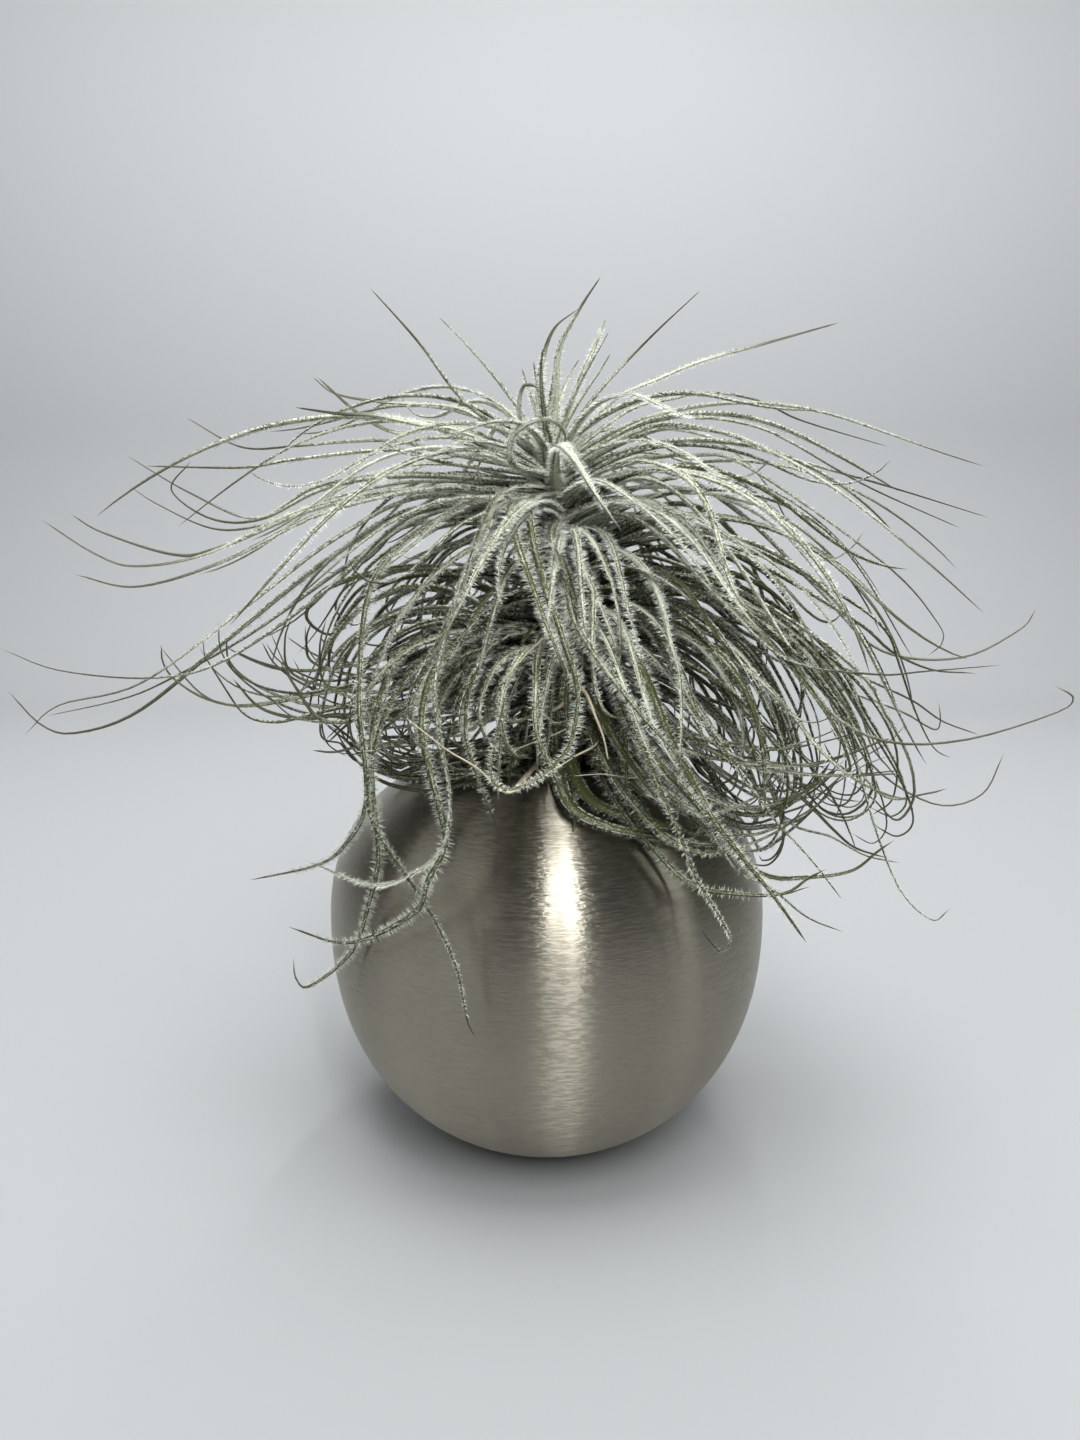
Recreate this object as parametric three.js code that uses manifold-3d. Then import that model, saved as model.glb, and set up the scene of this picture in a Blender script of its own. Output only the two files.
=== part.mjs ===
// Tectorum air plant standing in a spun steel ball vase.
// Millimetres, +Z up. The origin is the centre of the vase's flat base, and -Y is the front.
import * as THREE from 'three';
import { mergeVertices } from 'three/addons/utils/BufferGeometryUtils.js';
import Module from 'manifold-3d';

const wasm = await Module();
wasm.setup();

// Ball vase: two superellipse arcs that meet at the widest line, a flat base and a rolled lip
const ballRadius = 60;
const widestHeight = 62;
const upperRise = 46;
const upperPower = 2.43;
const lowerPower = 2.19;
const baseRadius = 20;
const mouthRadius = 21;
const wallThickness = 1;
const lipRadius = 0.9;
const vaseSides = 40;
const upperSteps = 7;
const lowerSteps = 7;
const lipSteps = 4;

// Stem: a slightly bowed core that the leaf bases wrap, from its foot inside the mouth to the crown
const stemFoot = 92;
const stemTop = 190;
const stemBowRight = 6;
const stemBowFront = 1.5;
const footRadius = 8.5;
const crownRadius = 6;
const stemSides = 8;
const stemSteps = 8;

// Leaves: three-sided blades, flat above and keeled below
const goldenAngle = 137.508;
const sheathWidth = 4.8;
const bladeWidth = 3;
const tipWidth = 0.95;
const sheathLength = 0.08;
const taperPower = 1.7;
const keelRatio = 0.42;
const thinnest = 0.7;
const vaseGap = 0.85;
const sunkPart = 0.14;
const clearingPasses = 3;
const leastReach = 0.3;

// Leaf tiers from the foot to the crown. first is the number of the tier's first leaf. Each pair is the
// value at the tier's bottom and at its top: height on the stem, launch angle above level, length, and droop
// along the leaf. upturn is the most that a tip turns up again. rightward lengthens the leaves on the right
// side and shortens those on the left. The greater droopPower is, the nearer the tip a leaf bends, and
// parting moves the leaves in front to the sides.
const tiers = [
  { first: 0, count: 13, segments: 6, height: [107, 138], launch: [10, 40], length: [58, 96],
    droop: [90, 130], upturn: 80, rightward: 0.26, droopPower: 1, parting: 0.6 },
  { first: 30, count: 22, segments: 6, height: [136, 162], launch: [30, 44], length: [96, 112],
    droop: [116, 128], upturn: 90, rightward: 0.2, droopPower: 0.85, parting: 0.6 },
  { first: 68, count: 36, segments: 6, height: [162, 184], launch: [32, 46], length: [112, 126],
    droop: [116, 92], upturn: 60, rightward: 0.04, droopPower: 0.85, parting: 0.2 },
  { first: 104, count: 11, segments: 3, height: [183, 189], launch: [60, 86], length: [56, 16],
    droop: [40, 4], upturn: 20, rightward: 0, droopPower: 0.85, parting: 0 },
];
const frontShortening = 0.3;
const backShortening = 0.08;
const azimuthScatter = 14;
const launchScatter = 9;
const lengthScatter = 0.16;
const droopScatter = 0.12;
const sweepScatter = 34;
const upturnStart = 0.68;
const upturnPower = 1.4;
const upturnBias = 1.5;
const sweepPower = 1.5;
const rulePoints = 24;

// The long leaves that make the plant's outline: root height on the stem, then the points they pass
const outlineLeaves = [
  // left side of the crown, from the top down
  [187, [-13, 4, 195], [-23, 8, 203], [-34, 12, 217], [-47, 16, 231]],
  [186, [-17, 10, 197], [-27, 16, 201], [-47, 26, 203], [-61, 34, 206], [-68, 38, 211]],
  [185, [-22, 8, 191], [-30, 12, 195], [-41, 18, 194], [-52, 24, 199], [-65, 30, 210]],
  [184, [-22, -4, 193], [-30, -6, 194], [-42, -12, 196], [-50, -16, 196], [-60, -22, 197]],
  [183, [-26, -2, 188], [-39, 0, 191], [-53, 4, 191], [-68, 8, 190], [-83, 12, 190], [-99, 18, 198]],
  [182, [-25, -6, 185], [-38, -10, 188], [-61, -22, 185], [-72, -26, 183], [-92, -34, 183]],
  [181, [-35, 4, 183], [-50, 8, 182], [-64, 10, 179], [-80, 12, 171], [-99, 16, 178], [-117, 20, 188]],
  [180, [-34, -4, 182], [-56, -6, 179], [-73, -8, 171], [-85, -10, 171], [-94, -12, 178], [-88, -14, 185]],
  [179, [-34, 10, 181], [-60, 14, 176], [-80, 18, 169], [-95, 22, 168], [-112, 26, 175], [-120, 28, 180]],
  [178, [-30, -8, 179], [-59, -16, 174], [-82, -24, 163], [-98, -28, 160], [-107, -30, 163],
    [-118, -32, 171]],
  [177, [-31, 2, 178], [-60, 4, 174], [-89, 8, 163], [-103, 12, 161], [-124, 16, 167], [-134, 20, 172]],
  [176, [-25, -12, 179], [-54, -18, 173], [-79, -22, 161], [-99, -26, 155], [-113, -28, 158]],
  [175, [-33, -4, 173], [-56, -8, 154], [-82, -12, 136], [-100, -14, 131], [-124, -16, 133],
    [-138, -18, 139]],
  [174, [-34, 6, 174], [-60, 12, 160], [-91, 18, 137], [-120, 22, 115], [-140, 24, 108], [-151, 26, 110],
    [-161, 28, 120]],
  [173, [-30, -10, 177], [-52, -16, 167], [-73, -22, 151], [-99, -28, 132], [-118, -32, 127],
    [-126, -34, 120]],
  [171, [-35, 10, 170], [-55, 18, 159], [-88, 28, 137], [-116, 34, 122], [-131, 36, 116], [-156, 40, 110]],
  [136, [-34, 0, 144], [-54, 6, 138], [-70, 12, 123], [-88, 16, 118], [-100, 18, 121], [-112, 20, 135]],
  // right side, from the top down
  [188, [2, -2, 202], [3, -4, 213], [8, -6, 222], [13, -8, 229]],
  [187, [-2, 4, 202], [-1, 8, 212], [2, 10, 220], [8, 12, 225]],
  [186, [12, 6, 202], [20, 12, 211], [30, 18, 221], [42, 24, 232]],
  [185, [16, -4, 200], [27, -8, 205], [38, -12, 209], [51, -16, 212], [68, -22, 216]],
  [184, [21, 10, 199], [34, 16, 203], [46, 20, 205], [60, 24, 203], [72, 26, 198], [98, 30, 191]],
  [183, [24, -6, 195], [37, -10, 196], [49, -14, 194], [58, -18, 190], [76, -24, 179], [97, -30, 169]],
  [182, [25, 4, 193], [37, 8, 195], [50, 10, 193], [64, 14, 188], [95, 20, 180], [127, 26, 171]],
  [181, [23, -12, 193], [37, -18, 193], [51, -24, 188], [69, -30, 177], [87, -36, 162], [100, -40, 150]],
  [180, [25, -4, 186], [37, -8, 187], [50, -12, 184], [84, -18, 160], [97, -20, 146], [98, -22, 141],
    [94, -24, 138]],
  [178, [30, 8, 184], [53, 14, 173], [78, 20, 151], [98, 24, 133], [123, 28, 130], [142, 32, 138],
    [147, 34, 144]],
  [176, [26, -10, 181], [43, -18, 166], [58, -26, 142], [69, -30, 125], [83, -32, 118], [101, -34, 119],
    [120, -37, 126], [123, -39, 130], [118, -40, 133]],
  [174, [27, 4, 176], [50, 8, 157], [71, 10, 129], [87, 12, 109], [100, 14, 96], [116, 16, 88], [129, 18, 91],
    [135, 20, 103]],
  [172, [23, -14, 171], [42, -26, 152], [58, -30, 138], [78, -34, 135], [89, -36, 136], [105, -40, 138]],
  [150, [34, -14, 151], [53, -20, 139], [67, -22, 131], [75, -24, 118], [84, -28, 91], [90, -30, 78],
    [97, -32, 72], [101, -32, 75]],
  [148, [23, -24, 147], [33, -38, 129], [40, -44, 120], [51, -48, 105], [61, -50, 94], [68, -52, 85]],
  [146, [20, -30, 140], [28, -46, 122], [36, -54, 107], [41, -56, 100], [50, -58, 89], [58, -60, 78]],
  [144, [16, -38, 136], [22, -54, 119], [29, -60, 103], [33, -60, 93], [41, -58, 79], [39, -58, 75],
    [34, -58, 81]],
  [142, [13, -30, 138], [21, -48, 122], [32, -54, 110], [44, -52, 95], [53, -50, 86], [62, -46, 86]],
  // front, the leaves that hang over the stem and the vase
  [178, [-4, -20, 176], [-4, -30, 169], [-1, -40, 157], [3, -50, 146], [6, -58, 137], [6, -62, 131],
    [4, -66, 124], [-2, -70, 119], [-8, -72, 117], [-12, -70, 119], [-11, -66, 127], [-9, -62, 135]],
  [176, [-8, -22, 175], [-8, -34, 169], [-4, -46, 158], [0, -56, 148], [4, -60, 138]],
  [172, [1, -22, 167], [4, -38, 157], [6, -48, 149], [11, -54, 141], [20, -58, 130], [31, -60, 118]],
  [179, [-10, -24, 178], [-15, -38, 170], [-19, -50, 157], [-23, -58, 148], [-29, -64, 136]],
  [177, [-11, -22, 175], [-15, -34, 167], [-19, -44, 159], [-24, -62, 139], [-23, -66, 126], [-21, -68, 114],
    [-23, -66, 102], [-31, -60, 94], [-41, -50, 88], [-59, -36, 89]],
  [175, [-17, -10, 176], [-27, -18, 171], [-35, -26, 165], [-42, -34, 154], [-43, -46, 131], [-42, -46, 114],
    [-43, -44, 104], [-48, -38, 95], [-57, -30, 86], [-78, -20, 78]],
  [137, [-11, -20, 145], [-15, -34, 139], [-18, -44, 133], [-18, -56, 125], [-15, -64, 117], [-11, -66, 107]],
  [136, [-14, -24, 144], [-25, -40, 139], [-28, -54, 128], [-25, -62, 116], [-22, -66, 104], [-26, -66, 95],
    [-30, -60, 85], [-48, -44, 71], [-65, -34, 71]],
  [138, [-25, -10, 145], [-38, -20, 136], [-42, -32, 123], [-41, -44, 112], [-39, -50, 96], [-42, -46, 83],
    [-48, -40, 67], [-60, -34, 55], [-64, -32, 56], [-65, -30, 61]],
  [135, [-22, -16, 141], [-36, -32, 131], [-41, -44, 116], [-40, -52, 104], [-29, -62, 91], [-24, -64, 83],
    [-20, -66, 74], [-18, -66, 62], [-16, -66, 58]],
];

// The round lower half: leaves that arch out from the stem, come down and curl in
const ballLeaves = [
  // left side
  [146, [-12, -8, 147], [-24, -8, 152], [-36, -6, 153], [-47, -4, 149], [-56, -2, 141], [-61, 0, 132],
    [-64, 2, 123]],
  [143, [-11, -10, 145], [-23, -14, 149], [-36, -14, 148], [-55, -10, 134], [-59, -8, 123],
    [-60, -8, 114], [-54, -8, 112]],
  [140, [-12, -12, 143], [-24, -18, 147], [-36, -22, 144], [-49, -24, 126], [-49, -24, 117],
    [-44, -24, 109], [-37, -24, 107]],
  [138, [-11, -14, 143], [-22, -22, 144], [-40, -32, 135], [-44, -32, 127], [-42, -32, 119],
    [-31, -32, 118], [-28, -32, 125]],
  [136, [-12, -14, 139], [-23, -22, 139], [-33, -26, 134], [-39, -28, 127], [-40, -28, 120],
    [-38, -28, 114]],
  [142, [-14, -4, 148], [-29, 4, 150], [-42, 10, 146], [-62, 16, 131], [-66, 18, 121], [-65, 18, 113],
    [-59, 18, 109]],
  [150, [-14, -2, 152], [-26, 6, 157], [-39, 14, 157], [-52, 20, 152], [-60, 24, 143], [-64, 26, 133],
    [-64, 26, 124]],
  [137, [-3, -26, 140], [-8, -38, 141], [-12, -46, 138], [-15, -50, 132], [-15, -52, 126],
    [-12, -52, 121], [-8, -50, 121]],
  [140, [-7, -20, 143], [-14, -34, 141], [-18, -44, 135], [-20, -50, 128], [-18, -54, 121],
    [-14, -54, 116]],
  [133, [-13, 6, 138], [-30, 16, 137], [-44, 24, 132], [-56, 28, 125], [-62, 30, 115], [-64, 30, 106]],
  [138, [-18, -4, 137], [-34, -2, 133], [-62, 2, 124], [-82, 4, 120], [-94, 4, 122], [-106, 6, 132],
    [-106, 6, 137]],
  [134, [-16, -8, 132], [-31, -8, 129], [-47, -8, 124], [-72, -8, 118], [-80, -8, 120], [-86, -8, 129],
    [-91, -8, 138]],
  [131, [-17, -2, 127], [-32, 2, 122], [-49, 6, 117], [-78, 10, 121], [-87, 10, 128], [-91, 10, 135],
    [-91, 10, 143]],
  [136, [-16, -14, 137], [-30, -16, 133], [-43, -18, 128], [-55, -18, 129], [-65, -18, 133],
    [-66, -18, 141], [-64, -18, 147]],
  // a dry leaf in front
  [112, [-6, -26, 109], [-11, -38, 108], [-18, -42, 114], [-25, -44, 120], [-33, -44, 127]],
  // right side
  [142, [14, -12, 140], [26, -20, 139], [37, -26, 135], [54, -30, 119], [61, -28, 110], [61, -26, 102],
    [55, -24, 99]],
  [140, [13, -16, 137], [24, -28, 130], [36, -36, 119], [47, -38, 114], [61, -36, 111], [73, -34, 110],
    [87, -32, 110]],
  [145, [15, -8, 147], [29, -10, 151], [53, -14, 138], [61, -14, 125], [66, -14, 112], [58, -14, 94],
    [50, -14, 96]],
  [148, [15, -4, 150], [47, 4, 152], [62, 8, 143], [74, 10, 130], [89, 10, 101], [81, 10, 90],
    [74, 10, 95]],
  [150, [16, -6, 153], [49, -8, 153], [65, -8, 141], [78, -6, 126], [89, -4, 99], [77, -4, 92],
    [70, -4, 98]],
  [136, [14, -16, 131], [23, -30, 120], [35, -34, 107], [47, -34, 102], [58, -32, 103], [67, -30, 107],
    [72, -30, 112]],
  [138, [15, -10, 133], [29, -14, 128], [42, -18, 118], [62, -24, 95], [72, -26, 92], [81, -26, 87],
    [90, -26, 85]],
  [132, [13, -18, 126], [23, -32, 114], [34, -38, 103], [46, -40, 97], [57, -38, 99], [66, -36, 104],
    [70, -36, 110]],
  [141, [17, -6, 137], [32, -8, 131], [48, -10, 119], [59, -12, 103], [63, -14, 90], [60, -14, 82],
    [53, -14, 82]],
  [151, [17, 0, 154], [38, 2, 157], [78, 6, 135], [90, 8, 117], [99, 8, 103], [99, 8, 87], [92, 8, 90]],
  [130, [14, -14, 124], [26, -26, 109], [38, -32, 97], [65, -34, 84], [76, -32, 85], [82, -32, 90],
    [86, -32, 93]],
];

// Broad old leaves at the foot that lie over the vase's shoulder
const footLeafWidth = 4.6;
const footLeaves = [
  [112, [2, -22, 114], [3, -34, 109], [6, -42, 104], [15, -44, 100], [27, -42, 97], [38, -38, 94],
    [49, -34, 92]],
  [110, [5, -20, 112], [7, -30, 108], [11, -36, 104], [20, -38, 100], [35, -34, 96], [48, -30, 93]],
  [130, [9, -24, 129], [14, -36, 123], [19, -44, 116], [25, -46, 108], [28, -46, 104]],
  [126, [4, -18, 128], [-1, -26, 122], [-6, -32, 116], [-10, -36, 111]],
  [112, [-7, -16, 115], [-18, -22, 110], [-30, -24, 107], [-39, -20, 106], [-45, -14, 108]],
];

const radians = THREE.MathUtils.degToRad;
const mix = THREE.MathUtils.lerp;
const clamp = THREE.MathUtils.clamp;

// Full drop of the lower arc below the widest line, which puts the edge of the flat base at height zero
const baseShare = Math.pow(baseRadius / ballRadius, lowerPower);
const lowerDrop = widestHeight / Math.pow(1 - baseShare, 1 / lowerPower);

// A closed triangle mesh with shared vertices, no flat triangles and its faces pointing out
function closedGeometry(positions, triangles) {
  let geometry = new THREE.BufferGeometry();
  geometry.setAttribute('position', new THREE.Float32BufferAttribute(positions, 3));
  geometry.setIndex(triangles);
  geometry = mergeVertices(geometry, 1e-4);
  const index = geometry.index.array;
  const positionArray = geometry.attributes.position.array;
  const kept = [];
  let volume = 0;
  for (let t = 0; t < index.length; t += 3) {
    const corners = [index[t], index[t + 1], index[t + 2]];
    if (new Set(corners).size < 3) continue;
    kept.push(...corners);
    const [a, b, c] = corners.map((v) => new THREE.Vector3().fromArray(positionArray, 3 * v));
    volume += a.dot(b.cross(c)) / 6;
  }
  if (volume < 0) kept.reverse();
  geometry.setIndex(kept);
  return geometry;
}

function toSolid(geometry) {
  return new wasm.Manifold(new wasm.Mesh({
    numProp: 3,
    vertProperties: Float32Array.from(geometry.attributes.position.array),
    triVerts: Uint32Array.from(geometry.index.array),
  }));
}

function toGeometry(solid) {
  const mesh = solid.getMesh();
  return closedGeometry(Array.from(mesh.vertProperties), Array.from(mesh.triVerts));
}

// Joins solids in pairs, then the pairs in pairs. The outer skin alone is returned, so that pinholes
// sealed between the leaf bases are filled.
function joinAll(solids) {
  let left = solids;
  while (left.length > 1) {
    const next = [];
    for (let i = 0; i < left.length; i += 2) {
      next.push(i + 1 < left.length ? left[i].add(left[i + 1]) : left[i]);
    }
    left = next;
  }
  const skins = left[0].decompose();
  return skins.reduce((largest, skin) => (skin.volume() > largest.volume() ? skin : largest));
}

// Section points of the vase's wall between two radii, on the upper or the lower arc
function arcPoints(upper, inset, fromRadius, toRadius, steps) {
  const across = ballRadius - inset;
  const power = upper ? upperPower : lowerPower;
  const rise = upper ? upperRise - inset : -(lowerDrop - inset);
  const angleAt = (radius) => Math.acos(Math.min(1, Math.pow(radius / across, power / 2)));
  const points = [];
  for (let i = 0; i <= steps; i += 1) {
    const angle = mix(angleAt(fromRadius), angleAt(toRadius), i / steps);
    points.push(new THREE.Vector2(
      across * Math.pow(Math.cos(angle), 2 / power),
      widestHeight + rise * Math.pow(Math.sin(angle), 2 / power)));
  }
  return points;
}

// Ball vase: one spun sheet wall, open at the mouth, with the lip rolled outwards
function vaseGeometry() {
  const inside = ballRadius - wallThickness;
  const outerLow = arcPoints(false, 0, baseRadius, ballRadius, lowerSteps);
  const outerHigh = arcPoints(true, 0, ballRadius, mouthRadius + lipRadius, upperSteps).slice(1);
  const innerHigh = arcPoints(true, wallThickness, mouthRadius, inside, upperSteps);
  const innerLow = arcPoints(false, wallThickness, inside, baseRadius, lowerSteps).slice(1);
  const lipTop = outerHigh.at(-1);
  const lip = [];
  for (let i = 1; i <= lipSteps; i += 1) {
    const angle = Math.PI * i / (lipSteps + 1);
    lip.push(new THREE.Vector2(
      mouthRadius + lipRadius / 2 + lipRadius * Math.cos(angle),
      lipTop.y + lipRadius * Math.sin(angle)));
  }
  const floorHeight = innerLow.at(-1).y;
  const profile = [new THREE.Vector2(0, 0), new THREE.Vector2(baseRadius, 0), ...outerLow.slice(1),
    ...outerHigh, ...lip, ...innerHigh, ...innerLow, new THREE.Vector2(0, floorHeight)];
  const lathe = new THREE.LatheGeometry(profile, vaseSides).rotateX(Math.PI / 2);
  return closedGeometry(Array.from(lathe.attributes.position.array), Array.from(lathe.index.array));
}

// The stem's centre line bows once to the right and a little to the front
function stemPoint(height) {
  const bow = Math.sin(Math.PI * clamp((height - stemFoot) / (stemTop - stemFoot), 0, 1));
  return new THREE.Vector3(stemBowRight * bow, -stemBowFront * bow, height);
}

// A closed solid through a row of rings that all have the same number of points
function loft(rings) {
  const sides = rings[0].length;
  const positions = rings.flat().flatMap((point) => point.toArray());
  const triangles = [];
  for (let k = 0; k < rings.length - 1; k += 1) {
    for (let j = 0; j < sides; j += 1) {
      const a = k * sides + j;
      const b = k * sides + (j + 1) % sides;
      triangles.push(a, b, b + sides, a, b + sides, a + sides);
    }
  }
  const last = (rings.length - 1) * sides;
  for (let j = 1; j < sides - 1; j += 1) {
    triangles.push(0, j + 1, j, last, last + j, last + j + 1);
  }
  return closedGeometry(positions, triangles);
}

function stemGeometry() {
  const rings = [];
  for (let k = 0; k <= stemSteps; k += 1) {
    const centre = stemPoint(mix(stemFoot, stemTop, k / stemSteps));
    const radius = mix(footRadius, crownRadius, k / stemSteps);
    rings.push(Array.from({ length: stemSides }, (_, j) => {
      const turn = 2 * Math.PI * j / stemSides;
      return centre.clone().add(new THREE.Vector3(radius * Math.cos(turn), radius * Math.sin(turn), 0));
    }));
  }
  return loft(rings);
}

// Fixed draws between 0 and 1, and between -1 and 1, for leaf i
function draw(i, k) {
  const value = Math.sin(i * 12.9898 + k * 78.233) * 43758.5453;
  return value - Math.floor(value);
}
const scatter = (i, k) => 2 * draw(i, k) - 1;

// Moves a point that is in the vase, or nearer to it than the clearance, straight out to its outline
// grown by that clearance. The mouth counts as closed, up to the top of the lip.
function clearOfVase(point, clearance) {
  const across = ballRadius + clearance;
  for (let pass = 0; pass < clearingPasses; pass += 1) {
    const above = point.z - widestHeight;
    const tall = (above > 0 ? upperRise + lipRadius : lowerDrop) + clearance;
    const power = above > 0 ? upperPower : lowerPower;
    const outward = Math.pow(Math.hypot(point.x, point.y) / across, power);
    const upward = Math.pow(Math.abs(above) / tall, power);
    const reach = Math.pow(outward + upward, 1 / power);
    if (reach >= 1) return point;
    const grow = 1 / Math.max(reach, leastReach);
    point.set(point.x * grow, point.y * grow, widestHeight + above * grow);
  }
  return point;
}

// A leaf of a tier: it leaves the stem at its launch angle, droops more and more along its length,
// sweeps a little sideways, and may turn its tip up again
function tierCentres(tier, i, up) {
  const turn = radians(i * goldenAngle + azimuthScatter * scatter(i, 1));
  const azimuth = turn + tier.parting * Math.cos(turn);
  const launch = radians(mix(...tier.launch, up) + launchScatter * scatter(i, 2));
  const front = Math.max(0, -Math.sin(azimuth));
  const back = Math.max(0, Math.sin(azimuth));
  const lopsided = 1 + tier.rightward * Math.cos(azimuth);
  const shortened = 1 - frontShortening * front - backShortening * back;
  const length = mix(...tier.length, up) * (1 + lengthScatter * scatter(i, 3)) * lopsided * shortened;
  const droop = radians(mix(...tier.droop, up) * (1 + droopScatter * scatter(i, 4)));
  const upturn = radians(tier.upturn * Math.pow(draw(i, 5), upturnBias));
  const sweep = radians(sweepScatter * scatter(i, 6));
  const points = [stemPoint(mix(...tier.height, up))];
  for (let k = 0; k < rulePoints; k += 1) {
    const s = (k + 0.5) / rulePoints;
    const turned = Math.pow(clamp((s - upturnStart) / (1 - upturnStart), 0, 1), upturnPower);
    const rise = launch - droop * Math.pow(s, tier.droopPower) + upturn * turned;
    const heading = azimuth + sweep * Math.pow(s, sweepPower);
    const step = new THREE.Vector3(
      Math.cos(rise) * Math.cos(heading), Math.cos(rise) * Math.sin(heading), Math.sin(rise));
    points.push(points.at(-1).clone().addScaledVector(step, length / rulePoints));
  }
  return new THREE.CatmullRomCurve3(points).getSpacedPoints(tier.segments);
}

// Ring centres of a leaf that is given by its stops, with one more halfway to the first stop
function stopCentres([rootHeight, ...stops]) {
  const points = [stemPoint(rootHeight), ...stops.map((stop) => new THREE.Vector3(...stop))];
  const halfway = new THREE.CatmullRomCurve3(points, false, 'catmullrom', 0.5).getPoint(0.5 / stops.length);
  return [points[0], halfway, ...points.slice(1)];
}

// A keeled blade along its ring centres: broad at the sheath, then even, then a long taper
function bladeGeometry(centres, middleWidth) {
  const distances = [0];
  for (let k = 1; k < centres.length; k += 1) {
    distances.push(distances[k - 1] + centres[k].distanceTo(centres[k - 1]));
  }
  const parts = distances.map((distance) => distance / distances.at(-1));
  const clearance = vaseGap + 2 * keelRatio * middleWidth / 3;
  const line = centres.map((centre, k) => (parts[k] > sunkPart ? clearOfVase(centre, clearance) : centre));
  let above = new THREE.Vector3(0, 0, 1);
  return loft(line.map((centre, k) => {
    const before = line[Math.max(0, k - 1)];
    const after = line[Math.min(line.length - 1, k + 1)];
    const along = after.clone().sub(before).normalize();
    above = above.clone().addScaledVector(along, -above.dot(along)).normalize();
    const across = along.clone().cross(above);
    const width = tipWidth + (middleWidth - tipWidth) * (1 - Math.pow(parts[k], taperPower))
      + Math.max(0, sheathWidth - middleWidth) * Math.exp(-parts[k] / sheathLength);
    const depth = Math.max(thinnest, keelRatio * width);
    return [
      centre.clone().addScaledVector(across, width / 2).addScaledVector(above, depth / 3),
      centre.clone().addScaledVector(across, -width / 2).addScaledVector(above, depth / 3),
      centre.clone().addScaledVector(above, -2 * depth / 3),
    ];
  }));
}

// Leafy stem: the core with every leaf joined to it, lowest first
function leafyStemGeometry() {
  const solids = [toSolid(stemGeometry())];
  for (const tier of tiers) {
    for (let j = 0; j < tier.count; j += 1) {
      const centres = tierCentres(tier, tier.first + j, (j + 0.5) / tier.count);
      solids.push(toSolid(bladeGeometry(centres, bladeWidth)));
    }
  }
  for (const leaf of [...ballLeaves, ...outlineLeaves]) {
    solids.push(toSolid(bladeGeometry(stopCentres(leaf), bladeWidth)));
  }
  for (const leaf of footLeaves) {
    solids.push(toSolid(bladeGeometry(stopCentres(leaf), footLeafWidth)));
  }
  return toGeometry(joinAll(solids));
}

function namedMesh(name, geometry, material) {
  const mesh = new THREE.Mesh(geometry, material);
  mesh.name = name;
  return mesh;
}

const brushedSteel = new THREE.MeshStandardMaterial({ color: 0x9a958b, roughness: 0.34, metalness: 1 });
const silveryLeaf = new THREE.MeshStandardMaterial({ color: 0x9aa292, roughness: 0.9, metalness: 0 });

const airPlantInVase = new THREE.Group();
airPlantInVase.add(namedMesh('ball_vase', vaseGeometry(), brushedSteel));
airPlantInVase.add(namedMesh('leafy_stem', leafyStemGeometry(), silveryLeaf));
export default airPlantInVase;
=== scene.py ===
"""A tectorum air plant whose foot stands in a ball vase of brushed steel.

The file follows the object from the surface it stands on upwards: view and light, vase, stem, leaves, hairs.
Sizes are in millimetres, made metres where a mesh is built, and angles in degrees. The origin is the centre
of the vase's base.
"""

import bpy
import numpy as np
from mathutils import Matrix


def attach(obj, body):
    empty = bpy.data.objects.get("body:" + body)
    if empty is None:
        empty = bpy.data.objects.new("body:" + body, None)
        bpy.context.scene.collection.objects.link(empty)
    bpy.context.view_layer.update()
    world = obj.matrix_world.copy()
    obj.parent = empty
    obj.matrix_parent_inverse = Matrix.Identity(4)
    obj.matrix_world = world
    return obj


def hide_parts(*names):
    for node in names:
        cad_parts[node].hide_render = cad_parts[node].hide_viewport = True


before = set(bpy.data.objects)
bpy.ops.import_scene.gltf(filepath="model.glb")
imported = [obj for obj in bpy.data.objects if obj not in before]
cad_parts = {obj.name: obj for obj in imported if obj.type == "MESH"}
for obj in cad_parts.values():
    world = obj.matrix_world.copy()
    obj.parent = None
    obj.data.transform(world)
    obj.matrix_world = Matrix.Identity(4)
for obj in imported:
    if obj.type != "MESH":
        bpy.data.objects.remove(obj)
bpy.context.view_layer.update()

# ---------------------------------------------------------------- view
# The camera stands where the photograph was taken from: close in front, a little above the crown's middle,
# looking slightly down with a short lens.
CAMERA_PLACE = (-1.83, -278.6, 173.5)
CAMERA_PITCH = 11.5
CAMERA_LENS = 26.0
LONG_SIDE = 36.0

lens = bpy.data.cameras.new("view")
lens.lens = CAMERA_LENS
lens.sensor_width = LONG_SIDE
lens.clip_start = 0.01
camera = bpy.data.objects.new("view", lens)
camera.location = [c / 1000 for c in CAMERA_PLACE]
camera.rotation_euler = (np.radians(90 - CAMERA_PITCH), 0, 0)
bpy.context.collection.objects.link(camera)
bpy.context.scene.camera = camera
bpy.context.scene.view_settings.view_transform = "Standard"


# ---------------------------------------------------------------- studio
# A plain pale floor that sweeps up into a pale wall behind, under large soft lamps. Two tall narrow lamps
# near the camera draw the bright line down the steel, those at the sides its softer bands, and one behind it
# the line at its back. The large lamps above light the leaves alone and don't mirror in the steel.
FLOOR_DROP = 0.2
SWEEP_START = 620.0
SWEEP_RADIUS = 260.0
SWEEP_HALF_WIDTH = 2600.0
SWEEP_TOP = 2200.0
SWEEP_STEPS = 24
FLOOR_FRONT = -2600.0
STUDIO_PAINT = (0.306, 0.316, 0.322)
ROOM_LIGHT = (0.07, 0.072, 0.073)


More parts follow.
